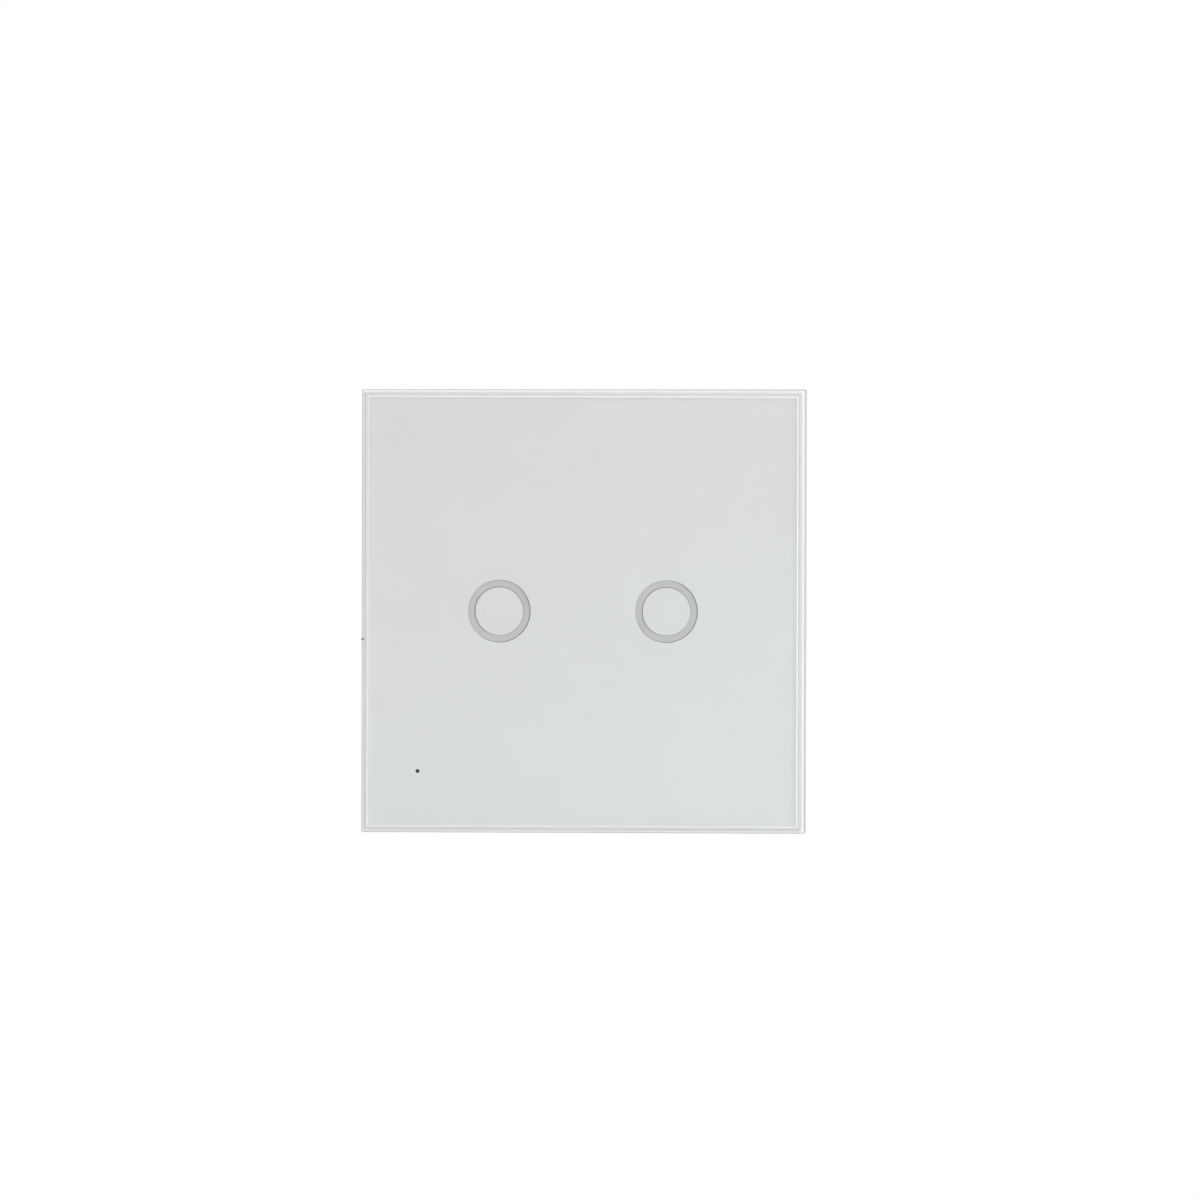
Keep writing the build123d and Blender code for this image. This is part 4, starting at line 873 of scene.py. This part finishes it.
def can(node_name, name):
    low, high = box_mm(node_name)
    middle = (low + high) / 2
    x, z = middle.x, middle.z
    radius = (high.x - low.x) / 2
    foot, top = box_mm("power_board")[1].y + 0.02, high.y
    angles = round_angles(48)
    score = 0.07
    scored = []
    for slant in (off_arm(angle) for angle in angles):
        scored.append(radius * 0.7 if slant < score else radius * 0.06 / max(score, math.sin(slant)))
    groove = radius * 0.94
    sleeve = [
        (radius * 0.86, foot + 0.35), (radius * 0.87, foot), (radius * 0.97, foot), (radius, foot + 0.15),
        (radius, foot + 1.9), (groove, foot + 2.2), (groove, foot + 2.5), (radius, foot + 2.8),
        (radius, top - 0.3), (radius * 0.95, top - 0.04), (radius * 0.86, top), (radius * 0.84, top - 0.18),
    ]
    lid = [(radius * 0.85, top - 0.2), (scored, top - 0.2), (0, top - 0.27)]
    seal = [(radius * 0.88, foot + 0.3), (radius * 0.6, foot + 0.2), (0, foot + 0.2)]
    wire = [(0, low.y), (0.26, low.y), (0.3, low.y + 0.06), (0.3, foot + 0.25), (0, foot + 0.25)]
    shape = Shape()
    shape.turned(sleeve, x, z, 48, 0)
    shape.turned(lid, x, z, fill=1, angles=angles)
    shape.turned(seal, x, z, 32, 2)
    for side in (-1, 1):
        shape.turned(wire, x, z + side * radius * 0.45, 16, 3)
    piece = shape.build(name, [finish[node_name], aluminium, rubber, tinned], "base", 40.0)
    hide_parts(node_name)


can("input_capacitor", "input_can")
can("output_capacitor", "output_can")


# Solder where leads come through the boards


def lead_ends(node_name, level):
    """Middle and half sizes, in x and z, of each lead of a node that ends at a level of y."""
    slack = 0.06
    near_x, near_z = 1.75, 1.3
    groups = []
    for vertex in nodes[node_name].data.vertices:
        x, y, z = vertex.co / mm
        if abs(y - level) > slack:
            continue
        for group in groups:
            if any(abs(x - other[0]) < near_x and abs(z - other[1]) < near_z for other in group):
                group.append((x, z))
                break
        else:
            groups.append([(x, z)])
    places = []
    for group in groups:
        across, upward = [(min(values), max(values)) for values in zip(*group)]
        halves = ((across[1] - across[0]) / 2, (upward[1] - upward[0]) / 2)
        places.append((sum(across) / 2, sum(upward) / 2, *halves))
    return places


board_front, board_rear = [corner.y for corner in box_mm("power_board")]
lead_length = 1.0
through_board = (
    "relay_coils relay_yokes relay_fixed_contacts terminal_tongues transformer_bobbin"
    " input_capacitor output_capacitor suppression_capacitor fuse varistor"
)
solder_points = Shape()
for node_name in through_board.split():
    for place in lead_ends(node_name, board_front - lead_length):
        solder_points.fillet(*place, board_front, board_front - lead_length)
for place in lead_ends("header_socket", board_rear + lead_length):
    solder_points.fillet(*place, board_rear, board_rear + lead_length)
solder_points.build("power_board_solder", [solder], "base", 50.0)

touch_front, touch_back = [corner.y for corner in box_mm("touch_board")]
pin_tip = box_mm("header_pins")[0].y
solder_points = Shape()
for place in lead_ends("header_pins", pin_tip):
    solder_points.fillet(*place, touch_front, pin_tip)
low, high = box_mm("radio_board")
lead_pitch = 1.27
for index in range(12):
    x = low.x + 1.6 + lead_pitch * index
    for edge, out in ((low.z, -1), (high.z, 1)):
        near = edge + out * 0.02
        rows = []
        for half, top, outer_half, outer_top, outer in (
            (0.36, touch_back, 0.36, touch_back, 0.5),
            (0.28, high.y - 0.1, 0.3, touch_back + 0.28, 0.3),
        ):
            far = edge + out * outer
            rows.append([
                (x - half, top, near), (x + half, top, near),
                (x + outer_half, outer_top, far), (x - outer_half, outer_top, far),
            ])
        solder_points.loft(rows)
solder_points.build("touch_board_solder", [solder], "front_panel", 50.0)


# Chip legs


def two_rows(legs, node_name, count, board):
    """Legs along the two long sides of a chip."""
    low, high = box_mm(node_name)
    middle = (low + high) / 2
    for index in range(count):
        x = middle.x + lead_pitch * (index - (count - 1) / 2)
        legs.leg(x, low.z, (0, -1), middle.y, board)
        legs.leg(x, high.z, (0, 1), middle.y, board)


legs = Shape()
two_rows(legs, "touch_controller", 8, touch_back)
legs.build("controller_legs", [tinned], "front_panel")

legs = Shape()
two_rows(legs, "converter_chip", 4, board_front)
low, high = box_mm("bridge_rectifier")
middle = (low + high) / 2
for offset in (-1.3, 1.3):
    legs.leg(low.x, middle.z + offset, (-1, 0), middle.y, board_front, reach=1.3, width=1.1)
    legs.leg(high.x, middle.z + offset, (1, 0), middle.y, board_front, reach=1.3, width=1.1)
legs.build("power_chip_legs", [tinned], "base")


# Tracks, bare pads and small surface parts on both boards.
# A track is a width and the (x, z) points of its middle line. Crossing tracks differ a little in
# height, so their faces never coincide. A part is its place, if it's upright, its size and its fill.

height_step = 0.002
smallest = (1.6, 0.8, 0.45)
small = (2.0, 1.25, 0.55)
large = (3.2, 1.6, 0.6)


def lay(tracks, routes, low_y, high_y):
    for index, (width, route) in enumerate(routes):
        lift = height_step * index
        tracks.track(route, width, low_y - lift, high_y + lift)


def both_sides(width, route):
    """A track on the left and the same one on the right."""
    return [(width, [(-x, z) for x, z in route]), (width, route)]


power_tracks = Shape()
power_routes = both_sides(2.2, [(11.25, -17.2), (11.25, -15.4), (13.5, -13.15), (14.45, -13.15)]) + [
    (1.6, [(3.75, -17.2), (3.75, -13.0), (6.0, -10.75), (6.0, 3.2), (7.7, 4.9),
           (16.4, 4.9), (19.65, 8.15), (19.65, 9.5)]),
    (1.4, [(19.65, 14.5), (17.3, 16.87), (14.05, 16.87)]),
    (1.6, [(-3.75, -17.2), (-3.75, -13.2), (-2.4, -11.85), (-2.4, -9.3), (-0.8, -7.7), (0.0, -7.7)]),
    (1.2, [(0.0, -2.3), (6.0, -2.3)]),
    (1.0, [(-2.4, -9.3), (-3.2, -8.5), (-3.2, 5.2), (-1.4, 7.0), (12.8, 7.0), (14.0, 7.1)]),
    (1.6, [(14.45, 2.5), (14.45, 4.9)]),
    (1.6, [(-14.45, 2.5), (-12.9, 4.05), (-7.4, 4.05)]),
    (1.0, [(-9.4, -3.7), (-7.2, -3.7), (-5.2, -1.7), (-5.2, 9.0), (-4.0, 10.2), (-0.75, 10.2)]),
    (1.0, [(-9.4, -6.3), (-3.2, -6.3)]),
    (0.9, [(-19.5, -3.7), (-21.6, -1.6), (-21.6, 10.2), (-19.8, 12.0), (-5.2, 12.0),
           (-3.4, 13.8), (-0.75, 13.8)]),
    (0.9, [(-19.5, -6.3), (-21.2, -8.0), (-21.2, -10.6)]),
    (1.0, [(-10.55, 7.55), (-6.65, 7.55), (-5.2, 9.0)]),
    (1.2, [(-10.55, 16.45), (5.2, 16.45), (7.4, 14.25), (7.4, 13.42)]),
    (1.0, [(7.4, 10.58), (9.3, 10.58), (10.8, 12.1), (10.8, 16.2), (9.6, 17.4)]),
    (0.6, [(8.85, 0.4), (8.85, -1.0), (9.9, -2.05), (9.9, -3.6)]),
    (0.6, [(20.05, 0.4), (20.05, -2.4)]),
    (0.6, [(12.55, -8.6), (12.55, -9.6), (11.4, -10.75), (8.6, -10.75)]),
    (0.6, [(16.35, -1.3), (16.35, -0.4), (17.6, 0.8), (20.05, 0.8)]),
    (0.6, [(15.1, -8.6), (15.1, -10.2), (16.5, -11.6), (18.4, -11.6)]),
    (0.6, [(-8.85, 0.4), (-8.85, -1.4)]),
]
lay(power_tracks, power_routes, board_front - 0.035, board_front + 0.01)
power_tracks.build("power_board_tracks", [green_trace], "base")

power_pads = Shape()
pad_places = (
    (-7.4, 4.05), (-21.2, -10.6), (9.6, 17.4), (8.6, -10.75), (18.4, -11.6), (-8.85, -1.4), (20.05, 0.4),
)
for x, z in pad_places:
    power_pads.hoop((x, z, 0.62), 0.24, board_front - 0.06, board_front + 0.01, 20)
power_pads.build("power_board_pads", [solder], "base")

small_parts = [
    (9.9, -5.2, True, *small, 1), (9.9, -8.2, True, *small, 1), (19.9, -4.4, True, 2.0, 1.25, 0.75, 2),
    (19.9, -7.4, True, *small, 1), (1.6, 3.0, True, 4.4, 2.6, 2.0, 1), (2.6, 0.4, False, *large, 1),
    (-8.3, -10.0, False, *large, 1), (-14.2, 12.0, False, 3.2, 2.5, 1.1, 2),
    (3.6, 12.0, True, 3.2, 1.6, 0.9, 2), (3.2, 8.9, False, *small, 1),
    (-17.6, -10.9, False, *small, 1), (0.6, -11.8, False, *large, 1),
]
power_parts = Shape()
for part in small_parts:
    power_parts.passive(board_front, -1, *part)
power_parts.build("power_board_parts", [tinned, chip, ceramic], "base")

touch_tracks = Shape()
for index in range(6):
    header_x = 2 * lead_pitch * (index - 2.5)
    leg_x = lead_pitch * (index - 2.5)
    route = [(header_x, 18.4), (header_x, 10.0 + abs(header_x - leg_x)), (leg_x, 10.0), (leg_x, 8.3)]
    for points in (route, [(leg_x, 1.8), (leg_x, -0.5)]):
        touch_tracks.track(points, 0.4, touch_back - 0.01, touch_back + 0.035)
touch_routes = [
    *both_sides(0.5, [(4.445, 1.8), (4.445, 0.6), (5.045, 0.0), (13.4, 0.0)]),
    *both_sides(0.5, [(4.445, 8.2), (4.445, 9.4), (6.6, 11.5), (16.1, 11.5), (16.15, 5.6)]),
    (0.8, [(-33.6, 12.0), (-33.6, 33.6), (33.6, 33.6), (33.6, 12.0)]),
    (0.8, [(-33.6, -12.0), (-33.6, -33.6), (33.6, -33.6), (33.6, -12.0)]),
    *both_sides(0.5, [(8.9, 21.6), (8.9, 26.0), (12.5, 29.6), (33.6, 29.6)]),
    (0.5, [(-9.0, -17.6), (-9.0, -22.0), (-17.5, -30.5), (-30.6, -30.5)]),
]
lay(touch_tracks, touch_routes, touch_back - 0.012, touch_back + 0.037)
touch_tracks.build("touch_board_tracks", [black_trace], "front_panel")

touch_pads = Shape()
pad_places = (
    (-13.4, 0.0), (13.4, 0.0), (-16.15, 5.6), (16.15, 5.6), (-30.6, -30.5), (-26.0, 22.0), (26.0, 22.0),
    (26.0, -22.0),
)
for x, z in pad_places:
    touch_pads.hoop((x, z, 0.55), 0.22, touch_back - 0.01, touch_back + 0.05, 20)
touch_pads.build("touch_board_pads", [gold], "front_panel")

small_parts = [
    (-8.6, 6.6, True, *smallest, 1), (-8.6, 3.6, True, *smallest, 2), (8.6, 6.6, True, *smallest, 2),
    (8.6, 3.6, True, *smallest, 1), (-11.2, 6.6, True, *smallest, 1), (11.2, 6.6, True, *smallest, 1),
    (-9.6, 14.6, False, *smallest, 2), (9.6, 14.6, False, *smallest, 2),
    (-14.9, -4.2, True, 2.0, 1.25, 0.6, 2), (14.9, -4.2, True, 2.0, 1.25, 0.6, 2),
    (-21.8, 0.0, True, *smallest, 1), (21.8, 0.0, True, *smallest, 1), (-27.4, -30.5, False, *smallest, 1),
]
touch_parts = Shape()
for part in small_parts:
    touch_parts.passive(touch_back, 1, *part)
touch_parts.build("touch_board_parts", [tinned, chip, ceramic], "front_panel")


# Camera: a long lens from a little above and to the right

distance = 2.2
azimuth = math.radians(2.3)
elevation = math.radians(1.2)
roll = math.radians(0.14)
view_width = 0.23165
sensor_width = 36.0
picture_width = 1200
target = Vector((0.0, -0.0085, 0.0))
flat = math.cos(elevation)
back = Vector((math.sin(azimuth) * flat, -math.cos(azimuth) * flat, math.sin(elevation)))
camera_data = bpy.data.cameras.new("camera")
camera = bpy.data.objects.new("camera", camera_data)
scene.collection.objects.link(camera)
camera.location = target + back * distance
turn = (-back).to_track_quat("-Z", "Y").to_matrix().to_4x4()
camera.rotation_euler = (turn @ Matrix.Rotation(roll, 4, "Z")).to_euler()
camera_data.sensor_width = sensor_width
camera_data.clip_start = 0.05
camera_data.clip_end = 40.0
camera_data.lens = sensor_width * distance / view_width
camera_data.shift_x = 17.1 / picture_width
camera_data.shift_y = 11.4 / picture_width
scene.camera = camera


# Light, white surroundings and a pale floor


def seen_directly(tree):
    """One for rays that show the surroundings to the camera, also in gloss and through glass,
    and not for soft light."""
    path = tree.nodes.new("ShaderNodeLightPath")
    seen = arithmetic(tree, "MAXIMUM", path.outputs["Is Camera Ray"], path.outputs["Is Glossy Ray"])
    seen = arithmetic(tree, "MAXIMUM", seen, path.outputs["Is Transmission Ray"])
    early = arithmetic(tree, "LESS_THAN", path.outputs["Diffuse Depth"], 0.5)
    return arithmetic(tree, "MULTIPLY", seen, early)


world = bpy.data.worlds.new("studio")
scene.world = world
world.use_nodes = True
tree = world.node_tree
tree.nodes.clear()
out = tree.nodes.new("ShaderNodeOutputWorld")
direction = tree.nodes.new("ShaderNodeTexCoord")
facing = along(tree, direction.outputs["Generated"], (0.45, -0.88, -0.12))
soft, white = [
    add_node(tree, "ShaderNodeBackground", {"Color": (1.0, 1.0, 1.0, 1.0), "Strength": strength})
    for strength in (spread(tree, facing, 0.24, 1.08, -1.0, 1.0), 1.0)
]
blend(tree, out, seen_directly(tree), soft, white)


def lamp(name, place, width, height, power, aim=(0.0, 0.0, 0.0)):
    data = bpy.data.lights.new(name, "AREA")
    data.shape = "RECTANGLE"
    data.size = width
    data.size_y = height
    data.energy = power
    light = bpy.data.objects.new(name, data)
    scene.collection.objects.link(light)
    light.location = place
    light.rotation_euler = (Vector(aim) - Vector(place)).to_track_quat("-Z", "Y").to_euler()


lamp("key", (0.62, -1.3, 0.1), width=0.5, height=0.7, power=3.8)
lamp("above", (0.1, -0.9, 1.0), width=0.9, height=0.5, power=1.2)
lamp("low", (0.6, -1.1, -0.06), width=0.5, height=0.16, power=1.2, aim=(0.0, 0.0, -0.02))
lamp("fill", (-1.0, -0.62, -0.06), width=0.4, height=0.16, power=0.7)
lamp("behind", (-0.4, 1.2, 0.6), width=0.8, height=0.6, power=5.0)

floor_reach = 1.4
floor_level = -0.165
corners = [(x * floor_reach, y * floor_reach, floor_level) for x, y in ((-1, -1), (1, -1), (1, 1), (-1, 1))]
floor_mesh = bpy.data.meshes.new("floor")
floor_mesh.from_pydata(corners, [], [(0, 1, 2, 3)])
floor = bpy.data.objects.new("floor", floor_mesh)
scene.collection.objects.link(floor)
floor_paint, tree, body, out = shader_tree("pale_floor")
patches = noise(tree, coordinates(tree), 0.4, 2.0)
pale = ramp(tree, patches, [(0.3, (0.86, 0.86, 0.86)), (0.7, (0.88, 0.88, 0.88))])
fill_in(tree, body, {"Base Color": pale, "Roughness": 0.9, "Specular IOR Level": 0.1})
glow = add_node(tree, "ShaderNodeEmission", {"Strength": 1.0})
away = add_node(tree, "ShaderNodeVectorMath", {0: coordinates(tree)})
away.operation = "LENGTH"
share = spread(tree, away.outputs["Value"], 0.55, 1.0, 0.2, 0.42)
blend(tree, out, arithmetic(tree, "MULTIPLY", seen_directly(tree), share), body, glow)
floor_mesh.materials.append(floor_paint)

scene.view_settings.view_transform = "Standard"


bpy.context.view_layer.update()
